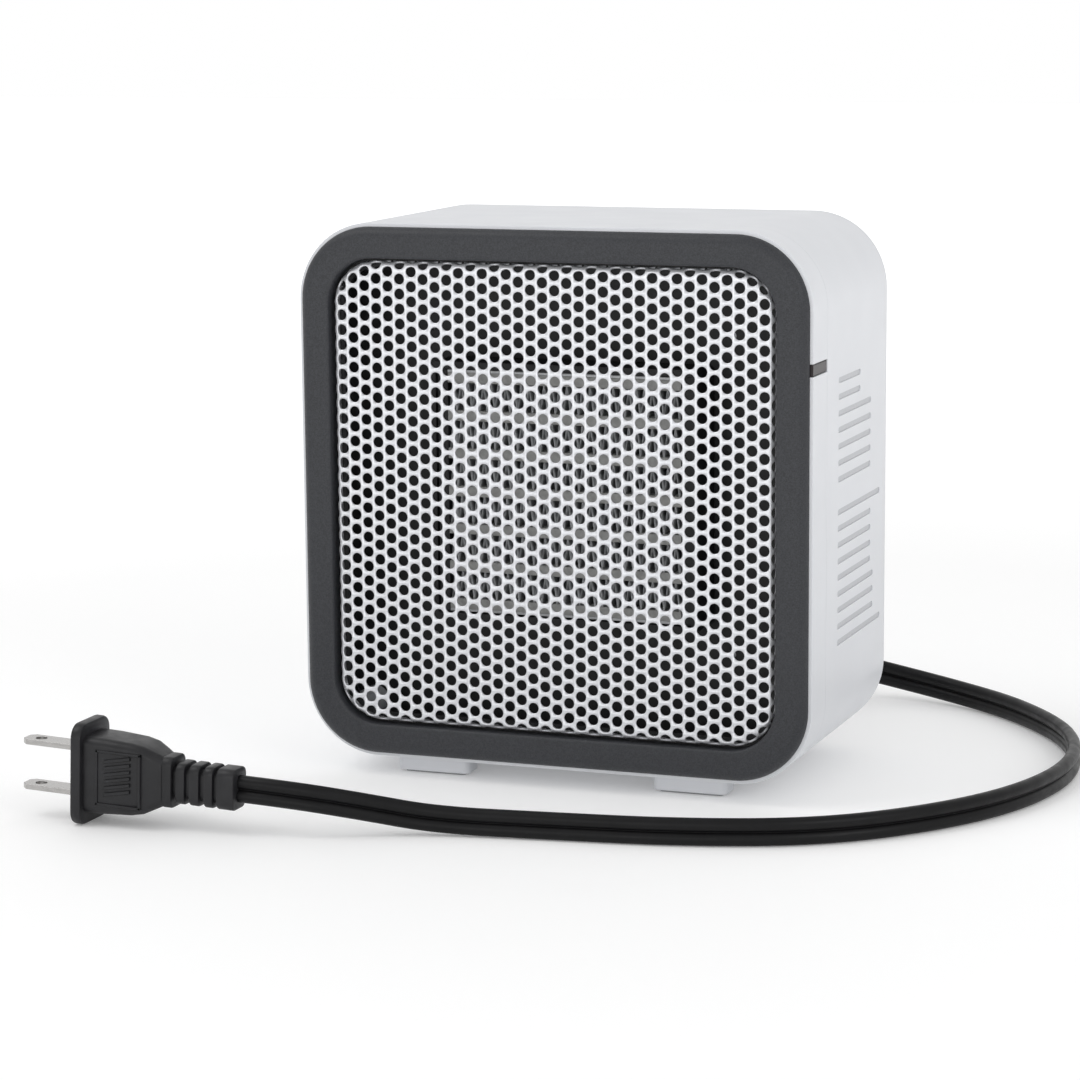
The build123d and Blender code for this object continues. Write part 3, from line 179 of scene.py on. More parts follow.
class HeaterCasing(bpy.types.PropertyGroup):
    white: colour("White plastic", "Colour of the casing", (0.695, 0.707, 0.735))
    charcoal: colour("Bezel plastic", "Colour of the front bezel", (0.030, 0.0315, 0.036))
    black: colour("Black plastic", "Colour of the hidden mouldings", (0.014, 0.014, 0.015))
    soft_edge: length("Soft edge", "Rounding of moulded edges", 0.18 * MM)
    groove_depth: length("Groove depth", "Depth of the side grooves", 0.35 * MM)


class HeaterGrille(bpy.types.PropertyGroup):
    silver: colour("Silver lacquer", "Colour of the perforated sheet", (0.76, 0.77, 0.80))
    sheet: length("Sheet", "Thickness of the perforated sheet", 0.6 * MM)
    hole_radius: length("Hole radius", "Radius of each round hole", 1.58 * MM)
    pitch_x: length("Column pitch", "Distance between columns of holes", 3.58 * MM)
    pitch_z: length("Row pitch", "Distance between holes in a column", 4.24 * MM)
    roll: length("Roll radius", "Radius of the sheet's rolled edge", 2.2 * MM)
    corner: length("Corner radius", "Radius of the sheet's outer corners", 12.7 * MM)


class HeaterCore(bpy.types.PropertyGroup):
    fold: length("Fold pitch", "Distance between folds of the foil", 1.15 * MM)
    foil: length("Foil", "Thickness of the fin foil", 0.16 * MM)
    bar: length("Bar height", "Height of each ceramic bar", 3.0 * MM)
    rows: bpy.props.IntProperty(
        name="Rows", description="Rows of fins between the bars", default=6, min=1
    )
    silver: colour("Aluminium", "Colour of the fins", (0.56, 0.57, 0.58))


class HeaterLead(bpy.types.PropertyGroup):
    black: colour("Lead sheath", "Colour of the lead and plug", (0.0035, 0.0035, 0.004))
    width: length("Width", "Height of the flat lead as it lies on its edge", 7.6 * MM)
    core_radius: length("Core radius", "Radius of each insulated core", 1.95 * MM)
    plug_length: length(
        "Plug length", "From the flange's face to the end of the strain relief", 47.0 * MM
    )
    tip_up: bpy.props.FloatProperty(
        name="Plug tilt", description="How far the plug's nose is raised", default=math.radians(2.4),
        subtype="ANGLE",
    )


class HeaterStage(bpy.types.PropertyGroup):
    floor: colour("Floor", "Colour of the floor", (0.93, 0.93, 0.93))
    ambient: bpy.props.FloatProperty(
        name="Ambient", description="Strength of the surrounding light", default=0.72, min=0.0
    )
    key: power("Key light", "Power of the main softbox", 6.0)
    fill: power("Fill light", "Power of the softbox on the right", 5.0)
    front: power("Front light", "Power of the low softbox in front", 3.0)
    glow: share("Floor glow", "Light that the paper adds of its own near the heater", 0.12)
    far_glow: share("Far glow", "Light that the paper adds of its own far from the heater", 0.5)
    lens: bpy.props.FloatProperty(
        name="Lens", description="Focal length of the camera", default=112.0, min=1.0, unit="CAMERA"
    )


# ---- material parts -----------------------------------------------------------------------------


def plain(name, base, roughness, **sockets):
    """A principled material with its constants set on the sockets."""
    material = bpy.data.materials.new(name)
    material.use_nodes = True
    shader = material.node_tree.nodes["Principled BSDF"]
    shader.inputs["Base Color"].default_value = (*base, 1)
    shader.inputs["Roughness"].default_value = roughness
    for socket, value in sockets.items():
        shader.inputs[socket.replace("_", " ")].default_value = value
    return material


def place(material, scale=(1, 1, 1)):
    """Object coordinates, stretched by a mapping."""
    tree = material.node_tree
    coordinates = tree.nodes.new("ShaderNodeTexCoord")
    mapping = tree.nodes.new("ShaderNodeMapping")
    mapping.inputs["Scale"].default_value = scale
    tree.links.new(coordinates.outputs["Object"], mapping.inputs["Vector"])
    return mapping.outputs["Vector"]


def grain(material, per_metre, detail=2.0, stretch=(1, 1, 1), rough=0.5):
    """A noise pattern with about that many blobs to the metre."""
    tree = material.node_tree
    noise = tree.nodes.new("ShaderNodeTexNoise")
    noise.inputs["Scale"].default_value = per_metre
    noise.inputs["Detail"].default_value = detail
    noise.inputs["Roughness"].default_value = rough
    tree.links.new(place(material, stretch), noise.inputs["Vector"])
    return noise.outputs["Fac"]


def spread(material, factor, low, high, start=0.3, stop=0.7):
    """A factor moved into a range of values."""
    tree = material.node_tree
    node = tree.nodes.new("ShaderNodeMapRange")
    node.inputs["From Min"].default_value = start
    node.inputs["From Max"].default_value = stop
    node.inputs["To Min"].default_value = low
    node.inputs["To Max"].default_value = high
    tree.links.new(factor, node.inputs["Value"])
    return node.outputs["Result"]


def vary_roughness(material, factor, low, high):
    shader = material.node_tree.nodes["Principled BSDF"]
    material.node_tree.links.new(spread(material, factor, low, high), shader.inputs["Roughness"])


def vary_colour(material, factor, dark, light, start=0.3, stop=0.7):
    """Mixes two colours by a factor."""
    tree = material.node_tree
    ramp = tree.nodes.new("ShaderNodeValToRGB")
    ramp.color_ramp.elements[0].position = start
    ramp.color_ramp.elements[0].color = (*dark, 1)
    ramp.color_ramp.elements[1].position = stop
    ramp.color_ramp.elements[1].color = (*light, 1)
    tree.links.new(factor, ramp.inputs["Fac"])
    shader = tree.nodes["Principled BSDF"]
    tree.links.new(ramp.outputs["Color"], shader.inputs["Base Color"])


def roughen(material, factor, depth, strength=1.0):
    """Bumps the surface by a factor, to a depth in metres."""
    tree = material.node_tree
    bump = tree.nodes.new("ShaderNodeBump")
    bump.inputs["Strength"].default_value = strength
    bump.inputs["Distance"].default_value = depth
    tree.links.new(factor, bump.inputs["Height"])
    tree.links.new(bump.outputs["Normal"], tree.nodes["Principled BSDF"].inputs["Normal"])


def tint(base, factor):
    return tuple(min(1.0, channel * factor) for channel in base)


# ---- materials ----------------------------------------------------------------------------------


def white_plastic(base):
    """Satin ABS with a faint orange peel."""
    material = plain("white_abs", base, 0.42, Specular_IOR_Level=0.4)
    peel = grain(material, per_metre=420, detail=3.0)
    cloud = grain(material, per_metre=30, detail=3.0)
    vary_colour(material, cloud, tint(base, 0.985), tint(base, 1.01))
    vary_roughness(material, grain(material, per_metre=90, detail=2.0), low=0.38, high=0.47)
    roughen(material, peel, depth=0.02 * MM, strength=0.5)
    return material


def groove_shade_plastic(base):
    """The same ABS with a matt grain, laid on a darker base that is painted shade."""
    material = plain("white_abs_grained_painted_shade", base, 0.6, Specular_IOR_Level=0.3)
    speck = grain(material, per_metre=1800, detail=3.0)
    vary_colour(material, speck, tint(base, 0.94), tint(base, 1.04))
    roughen(material, speck, depth=0.03 * MM, strength=0.5)
    return material


def bezel_plastic(base):
    """Charcoal plastic with a fine spark-eroded texture."""
    material = plain("charcoal_abs", base, 0.5, Specular_IOR_Level=0.38)
    speck = grain(material, per_metre=2600, detail=3.0, rough=0.7)
    vary_colour(material, speck, tint(base, 0.72), tint(base, 1.35), start=0.35, stop=0.68)
    vary_roughness(material, grain(material, per_metre=1100, detail=2.0), low=0.42, high=0.56)
    roughen(material, speck, depth=0.06 * MM, strength=0.55)
    return material


def black_plastic(base):
    """Glass-filled black moulding."""
    material = plain("black_nylon", base, 0.5)
    vary_colour(material, grain(material, per_metre=900, detail=3.0), tint(base, 0.8), tint(base, 1.3))
    roughen(material, grain(material, per_metre=1500, detail=2.0), depth=0.03 * MM, strength=0.5)
    return material


def silver_lacquer(base):
    """Silver lacquer on punched steel."""
    material = plain("silver_lacquer", base, 0.36, Metallic=0.55, Specular_IOR_Level=0.5)
    fleck = grain(material, per_metre=2400, detail=2.0)
    vary_colour(material, fleck, tint(base, 0.94), tint(base, 1.05))
    vary_roughness(material, grain(material, per_metre=700, detail=2.0), low=0.30, high=0.42)
    roughen(material, grain(material, per_metre=3000, detail=2.0), depth=0.01 * MM, strength=0.6)
    return material


def bare_metal(name, base, roughness, along=(1, 1, 1)):
    """Drawn or rolled metal, its marks stretched along one axis."""
    material = plain(name, base, roughness, Metallic=1.0)
    marks = grain(material, per_metre=1300, detail=3.0, stretch=along)
    vary_colour(material, marks, tint(base, 0.88), tint(base, 1.06))
    vary_roughness(material, marks, low=roughness * 0.8, high=roughness * 1.25)
    roughen(material, marks, depth=0.01 * MM, strength=0.5)
    return material


def ceramic():
    """Silvered faces of the fired stones and their electrode strips."""
    base = (0.40, 0.40, 0.39)
    material = plain("silvered_ceramic", base, 0.55, Metallic=0.25)
    vary_colour(material, grain(material, per_metre=500, detail=4.0), tint(base, 0.82), tint(base, 1.1))
    roughen(material, grain(material, per_metre=1800, detail=3.0), depth=0.03 * MM, strength=0.6)
    return material


def pvc(name, base, sheen):
    """Soft black PVC with a slight sheen."""
    material = plain(name, base, 0.4, Specular_IOR_Level=sheen)
    vary_colour(material, grain(material, per_metre=160, detail=3.0), tint(base, 0.8), tint(base, 1.35))
    vary_roughness(material, grain(material, per_metre=260, detail=3.0), low=0.33, high=0.47)
    roughen(material, grain(material, per_metre=900, detail=3.0), depth=0.03 * MM, strength=0.45)
    return material


def rubber():
    base = (0.30, 0.31, 0.32)
    material = plain("grey_rubber", base, 0.8)
    roughen(material, grain(material, per_metre=1600, detail=3.0), depth=0.05 * MM, strength=0.6)
    vary_colour(material, grain(material, per_metre=300, detail=3.0), tint(base, 0.85), tint(base, 1.1))
    return material


def smoked_lens():
    base = (0.020, 0.015, 0.016)
    material = plain("smoked_lens", base, 0.32, Specular_IOR_Level=0.25)
    vary_colour(material, grain(material, per_metre=200, detail=2.0), tint(base, 0.85), tint(base, 1.2))
    return material


def neon_glass():
    material = plain("neon_glass", (0.75, 0.36, 0.18), 0.1, Transmission_Weight=0.6)
    cloud = grain(material, per_metre=400, detail=2.0)
    vary_colour(material, cloud, (0.62, 0.28, 0.14), (0.82, 0.42, 0.22))
    return material


def board_paper():
    material = plain("phenolic_board", (0.30, 0.19, 0.07), 0.55)
    layers = grain(material, per_metre=700, detail=3.0, stretch=(1, 1, 5))
    vary_colour(material, layers, (0.26, 0.16, 0.06), (0.36, 0.24, 0.10))
    return material


def gloss_black():
    base = (0.012, 0.012, 0.012)
    material = plain("gloss_black", base, 0.22, Coat_Weight=0.2, Coat_Roughness=0.1)
    vary_roughness(material, grain(material, per_metre=300, detail=2.0), low=0.18, high=0.28)
    return material


# ---- shapes -------------------------------------------------------------------------------------


def paint(thing, material):
    """Gives an object one material."""
    slots = thing.data.materials
    if len(slots) == 0:
        slots.append(material)
    for index in range(len(slots)):
        slots[index] = material


def finished(shape, name, material, body, slot, *nodes, sharp=40.0):
    """Turns a bmesh into a piece that rides on a body and stands for its working nodes."""
    mesh = bpy.data.meshes.new(name)
    shape.to_mesh(mesh)
    shape.free()
    if "custom_normal" in mesh.attributes:
        mesh.attributes.remove(mesh.attributes["custom_normal"])
    mesh.shade_smooth()
    mesh.set_sharp_from_angle(angle=math.radians(sharp))
    mesh.materials.clear()
    mesh.materials.append(material)
    mesh.polygons.foreach_set("material_index", [0] * len(mesh.polygons))
    piece = bpy.data.objects.new(name, mesh)
    bpy.context.scene.collection.objects.link(piece)
    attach(piece, body)
    if nodes:
        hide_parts(*nodes)
    return piece


def soften(piece, width, steps=2):
    """Rounds the hard edges of a piece."""
    bevel = piece.modifiers.new("soft_edges", "BEVEL")
    bevel.width = width
    bevel.segments = steps
    bevel.limit_method = "ANGLE"
    bevel.angle_limit = HARD_ANGLE
    bevel.use_clamp_overlap = False
    bevel.harden_normals = True
    return piece


def moulded_copy(node, name, material, body, slot, soft):
    """The frame's own shape with its triangles merged into faces and its hard edges rounded."""
    shape = bmesh.new()
    shape.from_mesh(frame["nodes"][node].data)
    bmesh.ops.remove_doubles(shape, verts=shape.verts, dist=MERGE)
    bmesh.ops.dissolve_limit(
        shape, angle_limit=FLAT_ANGLE, verts=shape.verts, edges=shape.edges, delimit=set()
    )
    piece = finished(shape, name, material, body, slot, node)
    if soft:
        soften(piece, soft)
    return piece


def rounded_rectangle(shape, width, height, radius, steps=6):
    """A flat rounded rectangle about the origin, in X and Y."""
    made = bmesh.ops.create_grid(shape, x_segments=1, y_segments=1, size=0.5)
    bmesh.ops.scale(shape, vec=(width, height, 1), verts=made["verts"])
    bmesh.ops.bevel(
        shape, geom=made["verts"], offset=radius, offset_type="OFFSET", segments=steps, profile=0.5,
        affect="VERTICES", material=-1,
    )
    return shape.faces[:]


def swept_block(sections, steps=6):
    """A closed block along +X through rounded rectangles, (x, width, height, radius) in millimetres."""
    shape = bmesh.new()
    caps = []
    for sizes in sections:
        x, width, height, radius = (size * MM for size in sizes)
        section = bmesh.new()
        rounded_rectangle(section, width, height, radius, steps)
        bmesh.ops.rotate(section, verts=section.verts, matrix=Matrix.Rotation(math.pi / 2, 3, "Z"))
        bmesh.ops.rotate(section, verts=section.verts, matrix=Matrix.Rotation(math.pi / 2, 3, "Y"))
        bmesh.ops.translate(section, verts=section.verts, vec=(x, 0, 0))
        loose = bpy.data.meshes.new("section")
        section.to_mesh(loose)
        section.free()
        before = set(shape.faces)
        shape.from_mesh(loose)
        bpy.data.meshes.remove(loose)
        caps.append([face for face in shape.faces if face not in before])
    loops = [[edge for face in faces for edge in face.edges] for faces in caps]
    for near, far in zip(loops, loops[1:]):
        bmesh.ops.bridge_loops(shape, edges=near + far)
    inner = [face for faces in caps[1:-1] for face in faces]
    bmesh.ops.delete(shape, geom=inner, context="FACES_ONLY")
    bmesh.ops.recalc_face_normals(shape, faces=shape.faces)
    return shape


def joined(shapes):
    """Several closed shapes in one bmesh."""
    whole = bmesh.new()
    for shape in shapes:
        loose = bpy.data.meshes.new("part")
        shape.to_mesh(loose)
        shape.free()
        whole.from_mesh(loose)
        bpy.data.meshes.remove(loose)
    return whole


# ---- perforated grille --------------------------------------------------------------------------


def tile_side(step):
    """How far a perimeter point of a tile lies along one axis, for even steps around it."""
    half_turn = TILE_STEPS // 2
    return max(-1.0, min(1.0, 2 - abs((step + half_turn) % TILE_STEPS - half_turn) / 2))


def grille_tile(sizes):
    """One rectangle of sheet with its round hole, in X and Z."""
    shape = bmesh.new()
    turn = Matrix.Rotation(math.pi / 2, 3, "X")
    bmesh.ops.create_circle(
        shape, cap_ends=False, radius=sizes.hole_radius, segments=TILE_STEPS
    )
    outer = bmesh.ops.create_circle(shape, cap_ends=False, radius=1.0, segments=TILE_STEPS)["verts"]
    for vertex in outer:
        step = round(math.atan2(vertex.co.y, vertex.co.x) / (2 * math.pi / TILE_STEPS))
        vertex.co.x = tile_side(step) * sizes.pitch_x / 2
        vertex.co.y = tile_side(step - TILE_STEPS // 4) * sizes.pitch_z / 2
    bmesh.ops.bridge_loops(shape, edges=shape.edges[:])
    bmesh.ops.rotate(shape, verts=shape.verts, matrix=turn)
    return shape


def everything(shape):
    return shape.verts[:] + shape.edges[:] + shape.faces[:]


def repeated(shape, geometry, count, step):
    """Copies geometry in a line, each copy a step further on."""
    for index in range(1, count):
        copy = bmesh.ops.duplicate(shape, geom=geometry)["geom"]
        moved = [item for item in copy if isinstance(item, bmesh.types.BMVert)]
        bmesh.ops.translate(shape, verts=moved, vec=step * index)


def rolled_place(place, half_x, half_z, corner, roll, front):
    """A point of the flat sheet after its border is rolled back."""
    over_x = abs(place.x) - (half_x - corner)
    over_z = abs(place.z) - (half_z - corner)
    side_x = math.copysign(1, place.x)
    side_z = math.copysign(1, place.z)
    if over_x > 0 and over_z > 0:
        reach = math.hypot(over_x, over_z)
        outward = Vector((side_x * over_x, 0, side_z * over_z)) / reach
    elif over_x > over_z:
        reach = over_x
        outward = Vector((side_x, 0, 0))
    else:
        reach = over_z
        outward = Vector((0, 0, side_z))
    past = reach - corner
    if past <= 0:
        return Vector((place.x, front, place.z))
    angle = min(past / roll, math.pi / 2)
    straight = max(past - roll * math.pi / 2, 0)
    base = place - outward * past
    moved = base + outward * roll * math.sin(angle)
    moved.y = front + roll * (1 - math.cos(angle)) + straight
    return moved


def perforated_sheet(sizes):
    """The whole sheet: tiles side by side, border rolled back, trimmed to its depth."""
    shape = grille_tile(sizes)
    half_w = (GRILLE_HIGH.x - GRILLE_LOW.x) / 2
    half_h = (GRILLE_HIGH.z - GRILLE_LOW.z) / 2
    depth = GRILLE_HIGH.y - GRILLE_LOW.y
    columns = math.ceil((half_w + depth) / sizes.pitch_x) + 1
    rows = math.ceil((half_h + depth) / sizes.pitch_z) + 1
    bmesh.ops.translate(shape, verts=shape.verts, vec=(0, 0, -rows * sizes.pitch_z))
    repeated(shape, everything(shape), 2 * rows + 1, Vector((0, 0, sizes.pitch_z)))
    column = everything(shape)
    bmesh.ops.translate(shape, verts=shape.verts, vec=(-columns * sizes.pitch_x, 0, 0))
    for index in range(1, 2 * columns + 1):
        copy = bmesh.ops.duplicate(shape, geom=column)["geom"]
        moved = [item for item in copy if isinstance(item, bmesh.types.BMVert)]
        stagger = (index % 2) * sizes.pitch_z / 2
        bmesh.ops.translate(shape, verts=moved, vec=(index * sizes.pitch_x, 0, stagger))
    half_step = -sizes.pitch_z / 2 if columns % 2 else 0
    bmesh.ops.translate(shape, verts=shape.verts, vec=(sizes.pitch_x / 2, 0, half_step))
    bmesh.ops.remove_doubles(shape, verts=shape.verts, dist=0.01 * MM)
    flat_x, flat_z = half_w - sizes.roll, half_h - sizes.roll
    bend = sizes.corner - sizes.roll
    for axis, limit in ((0, half_w), (2, half_h)):
        for side in (-1, 1):
            normal = [0, 0, 0]
            normal[axis] = side
            spot = [0, 0, 0]
            spot[axis] = side * (limit + depth)
            bmesh.ops.bisect_plane(
                shape, geom=everything(shape), plane_co=spot, plane_no=normal, clear_outer=True
            )
    border = [
        edge for edge in shape.edges
        if any(abs(v.co.x) > flat_x or abs(v.co.z) > flat_z for v in edge.verts)
    ]
    bmesh.ops.subdivide_edges(shape, edges=border, cuts=1, use_grid_fill=True)
    for vertex in shape.verts:
        vertex.co = rolled_place(vertex.co, flat_x, flat_z, bend, sizes.roll, 0.0)
    bmesh.ops.bisect_plane(
        shape, geom=everything(shape), plane_co=(0, depth, 0), plane_no=(0, 1, 0), clear_outer=True
    )
    bmesh.ops.translate(shape, verts=shape.verts, vec=(0, GRILLE_LOW.y, MIDDLE_Z))
    bmesh.ops.recalc_face_normals(shape, faces=shape.faces)
    facing = sum(face.normal.y * face.calc_area() for face in shape.faces)
    if facing > 0:
        bmesh.ops.reverse_faces(shape, faces=shape.faces)
    return shape


# ---- operators ----------------------------------------------------------------------------------


class HEATER_OT_stage(bpy.types.Operator):
    """Lay the floor, set the soft lights and aim the camera"""

    bl_idname = "heater.stage"
    bl_label = "Stage"

    def execute(self, context):
        stage = context.scene.heater_stage
        context.scene.view_settings.view_transform = "Standard"
        paper = plain("floor_paper", stage.floor, 0.7, Specular_IOR_Level=0.15)
        self.light_up(paper, stage.glow)
        self.brighten_far(paper, stage)
        self.sheet("floor", Matrix.Identity(4), paper)
        lit = plain("backdrop_paper", (0, 0, 0), 1.0, Specular_IOR_Level=0.0)
        self.light_up(lit, 1.0)
        upright = Matrix.Translation((0, BACKDROP_Y, 0)) @ Matrix.Rotation(math.pi / 2, 4, "X")
        self.sheet("backdrop", upright, lit)
        world = bpy.data.worlds.new("studio")
        world.use_nodes = True
        world.node_tree.nodes["Background"].inputs["Color"].default_value = (1, 1, 1, 1)
        world.node_tree.nodes["Background"].inputs["Strength"].default_value = stage.ambient
        context.scene.world = world
        self.softbox("key_light", KEY_PLACE, KEY_SIZE, stage.key)
        self.softbox("fill_light", FILL_PLACE, FILL_SIZE, stage.fill)
        self.softbox("front_light", FRONT_PLACE, FRONT_SIZE, stage.front)
        self.camera(stage)
        return {"FINISHED"}

    def light_up(self, paper, strength):
        """Lets a sheet of paper add white light of its own."""
        shader = paper.node_tree.nodes["Principled BSDF"]
        shader.inputs["Emission Color"].default_value = (1, 1, 1, 1)
        shader.inputs["Emission Strength"].default_value = strength

    def brighten_far(self, paper, stage):
        """Lets the paper's own light grow with distance, so that no horizon shows."""
        tree = paper.node_tree
        distance = tree.nodes.new("ShaderNodeVectorMath")
        distance.operation = "LENGTH"
        tree.links.new(place(paper), distance.inputs[0])
        reach = distance.outputs["Value"]
        glow = spread(paper, reach, stage.glow, stage.far_glow, GLOW_FROM, GLOW_TO)
        tree.links.new(glow, tree.nodes["Principled BSDF"].inputs["Emission Strength"])

    def sheet(self, name, placed, material):
        """A square of paper, as the floor or as the backdrop."""
        shape = bmesh.new()
        bmesh.ops.create_grid(shape, x_segments=1, y_segments=1, size=PAPER_HALF)
        bmesh.ops.transform(shape, matrix=placed, verts=shape.verts)
        mesh = bpy.data.meshes.new(name)
        shape.to_mesh(mesh)
        shape.free()
        mesh.materials.append(material)
        thing = bpy.data.objects.new(name, mesh)
        bpy.context.scene.collection.objects.link(thing)

    def softbox(self, name, position, size, power):
        light = bpy.data.lights.new(name, "AREA")
        light.shape = "RECTANGLE"
        light.size, light.size_y = size
        light.energy = power
        lamp = bpy.data.objects.new(name, light)
        lamp.location = position
        aim = Vector(AIM) - lamp.location
        lamp.rotation_euler = aim.to_track_quat("-Z", "Y").to_euler()
        bpy.context.scene.collection.objects.link(lamp)

    def camera(self, stage):
        yaw, pitch, roll = (math.radians(angle) for angle in CAMERA_TURN)
        level_ahead = Vector((-math.sin(yaw), math.cos(yaw), 0))
        ahead = level_ahead * math.cos(pitch) + Vector((0, 0, -math.sin(pitch)))
        level = Vector((math.cos(yaw), math.sin(yaw), 0))
        above = level.cross(ahead)
        right = level * math.cos(roll) + above * math.sin(roll)
        up = right.cross(ahead)
        data = bpy.data.cameras.new("camera")
        data.lens = stage.lens
        data.sensor_width = SENSOR
        data.clip_start = 0.05
        data.clip_end = 30.0
        camera = bpy.data.objects.new("camera", data)
        camera.matrix_world = Matrix.Translation(CAMERA_PLACE) @ Matrix(
            (right, up, -ahead)
        ).transposed().to_4x4()
        bpy.context.scene.collection.objects.link(camera)
        bpy.context.scene.camera = camera


class HEATER_OT_lead(bpy.types.Operator):
    """Lay the flat two-core lead along its route, with its gland and plug"""

    bl_idname = "heater.lead"
    bl_label = "Mains lead"

    def execute(self, context):
        sizes = context.scene.heater_lead
        sheath = pvc("black_pvc", sizes.black, 0.22)
        moulding = pvc("moulded_pvc", tint(sizes.black, 3.2), 0.36)
        route = self.route()
        line = bpy.data.meshes.new_from_object(route)
        route.data.bevel_mode = "OBJECT"
        section = self.section(sizes)
        route.data.bevel_object = section
        route.data.use_fill_caps = True
        bpy.context.view_layer.update()
        swept = route.evaluated_get(bpy.context.evaluated_depsgraph_get())
        tube = bpy.data.meshes.new_from_object(swept)
        shape = bmesh.new()
        shape.from_mesh(tube)
        bmesh.ops.remove_doubles(shape, verts=shape.verts, dist=MERGE)
        bmesh.ops.recalc_face_normals(shape, faces=shape.faces)
        lead = finished(shape, "mains_lead", sheath, "heater", "cord_pvc", "power_cord")
        for leftover in (route, section):
            bpy.data.objects.remove(leftover)
        plug = self.plug(sizes, moulding)
        pins = self.pins()
        gland = moulded_copy("cord_gland", "lead_gland", moulding, "heater", "black_plastic", 0.25 * MM)
        return {"FINISHED"}

    def route(self):
        curve = bpy.data.curves.new("lead_route", "CURVE")
        curve.dimensions = "3D"
        curve.twist_mode = "Z_UP"
        curve.resolution_u = 12
        spline = curve.splines.new("NURBS")
        spline.points.add(len(LEAD_ROUTE) - 1)
        for point, spot in zip(spline.points, LEAD_ROUTE):
            point.co = (*spot, 1)
        spline.order_u = 3
        spline.use_endpoint_u = True
        route = bpy.data.objects.new("lead_route", curve)
        bpy.context.scene.collection.objects.link(route)
        bpy.context.view_layer.update()
        return route

    def section(self, sizes):
        """Two round cores side by side, joined by a web."""
        radius = sizes.core_radius
        apart = sizes.width / 2 - radius
        curve = bpy.data.curves.new("lead_section", "CURVE")
        curve.dimensions = "2D"
        steps = 15
        reach = math.radians(157)
        spots = []
        for side in (1, -1):
            for step in range(steps):
                angle = side * math.pi / 2 - reach + 2 * reach * step / (steps - 1)
                spots.append((radius * math.cos(angle), side * apart + radius * math.sin(angle)))
        spline = curve.splines.new("POLY")
        spline.points.add(len(spots) - 1)
        for point, (x, y) in zip(spline.points, spots):
            point.co = (x, y, 0, 1)
        spline.use_cyclic_u = True
        section = bpy.data.objects.new("lead_section", curve)
        bpy.context.scene.collection.objects.link(section)
        return section

    def placed(self, shape, sizes):
        """Moves a shape from the plug's own axis to where the plug lies."""
        matrix = (
            Matrix.Translation(LEAD_ROUTE[-1])
            @ Matrix.Rotation(sizes.tip_up, 4, "Y")
            @ Matrix.Translation((-sizes.plug_length, 0, 0))
        )
        bmesh.ops.transform(shape, matrix=matrix, verts=shape.verts)
        return shape

    def plug(self, sizes, sheath):
        """Flange, tapered body, collar and ribbed strain relief, with a grip on both sides."""
        flange = swept_block(FLANGE_SECTIONS, steps=8)
        body = swept_block(BODY_SECTIONS, steps=8)
        collar = self.rib(*COLLAR)
        core = swept_block(RELIEF_SECTIONS)
        ribs = [self.rib(start, stop, *RIB_SIZE) for start, stop in RIBS]
        frames = self.grip(-GRIP_SIDE, -1) + self.grip(GRIP_SIDE, 1)
        shape = self.placed(joined([flange, body, collar, core, *ribs, *frames]), sizes)
        return finished(shape, "plug", sheath, "heater", "cord_pvc", "plug_body")

    def grip(self, side_y, way):
        """Raised finger grip on one side of the plug's body: a frame round a field of slanted ribs."""
        bars = [
            self.bar(GRIP_START, GRIP_END, GRIP_INNER, GRIP_REACH, side_y, way),
            self.bar(GRIP_START, GRIP_END, -GRIP_REACH, -GRIP_INNER, side_y, way),
            self.bar(GRIP_START, GRIP_START + GRIP_LINE, -GRIP_REACH, GRIP_REACH, side_y, way),
            self.bar(GRIP_END - GRIP_LINE, GRIP_END, -GRIP_REACH, GRIP_REACH, side_y, way),
        ]
        for index in range(GRIP_RIBS):
            middle = GRIP_RIB_LOW + index * GRIP_RIB_PITCH
            low, high = middle - GRIP_RIB_HALF, middle + GRIP_RIB_HALF
            bars.append(
                self.bar(GRIP_RIB_START, GRIP_RIB_END, low, high, side_y, way, slant=GRIP_RIB_SLANT)
            )
        return bars

    def bar(self, x0, x1, z0, z1, side_y, way, slant=0.0):
        """One low bar that stands proud of the body, its far end raised by the slant."""
        shape = bmesh.new()
        proud = side_y + way * GRIP_PROUD
        sunk = side_y - way * GRIP_SUNK
        corners = []
        for y, shrink in ((sunk, 0.0), (proud - way * GRIP_CHAMFER, 0.0), (proud, GRIP_RIM)):
            for x, z in (
                (x0 + shrink, z0 + shrink), (x1 - shrink, z0 + shrink + slant),
                (x1 - shrink, z1 - shrink + slant), (x0 + shrink, z1 - shrink),
            ):
                corners.append(shape.verts.new((x * MM, y * MM, z * MM)))
        for layer in (0, 4):
            for index in range(4):
                after = (index + 1) % 4
                shape.faces.new((
                    corners[layer + index], corners[layer + after],
                    corners[layer + after + 4], corners[layer + index + 4],
                ))
        shape.faces.new(corners[0:4])
        shape.faces.new(corners[8:12])
        bmesh.ops.recalc_face_normals(shape, faces=shape.faces)
        return shape

    def rib(self, start, stop, width, height, radius):
        """One rounded ring of the strain relief, sizes in millimetres."""
        tip = (width - 2 * RIB_EDGE, height - 2 * RIB_EDGE, radius - RIB_EDGE)
        shoulder = (width - RIB_EDGE * 0.6, height - RIB_EDGE * 0.6, radius - 0.1)
        full = (width, height, radius)
        return swept_block([
            (start, *tip),
            (start + RIB_EDGE * 0.3, *shoulder),
            (start + RIB_EDGE, *full),
            (stop - RIB_EDGE, *full),
            (stop - RIB_EDGE * 0.3, *shoulder),
            (stop, *tip),
        ])

    def pins(self):
        nickel = bare_metal("nickel_plate", (0.44, 0.43, 0.42), 0.26, (0.2, 1, 1))
        return moulded_copy("plug_blades", "plug_pins", nickel, "heater", "nickel", 0.15 * MM)


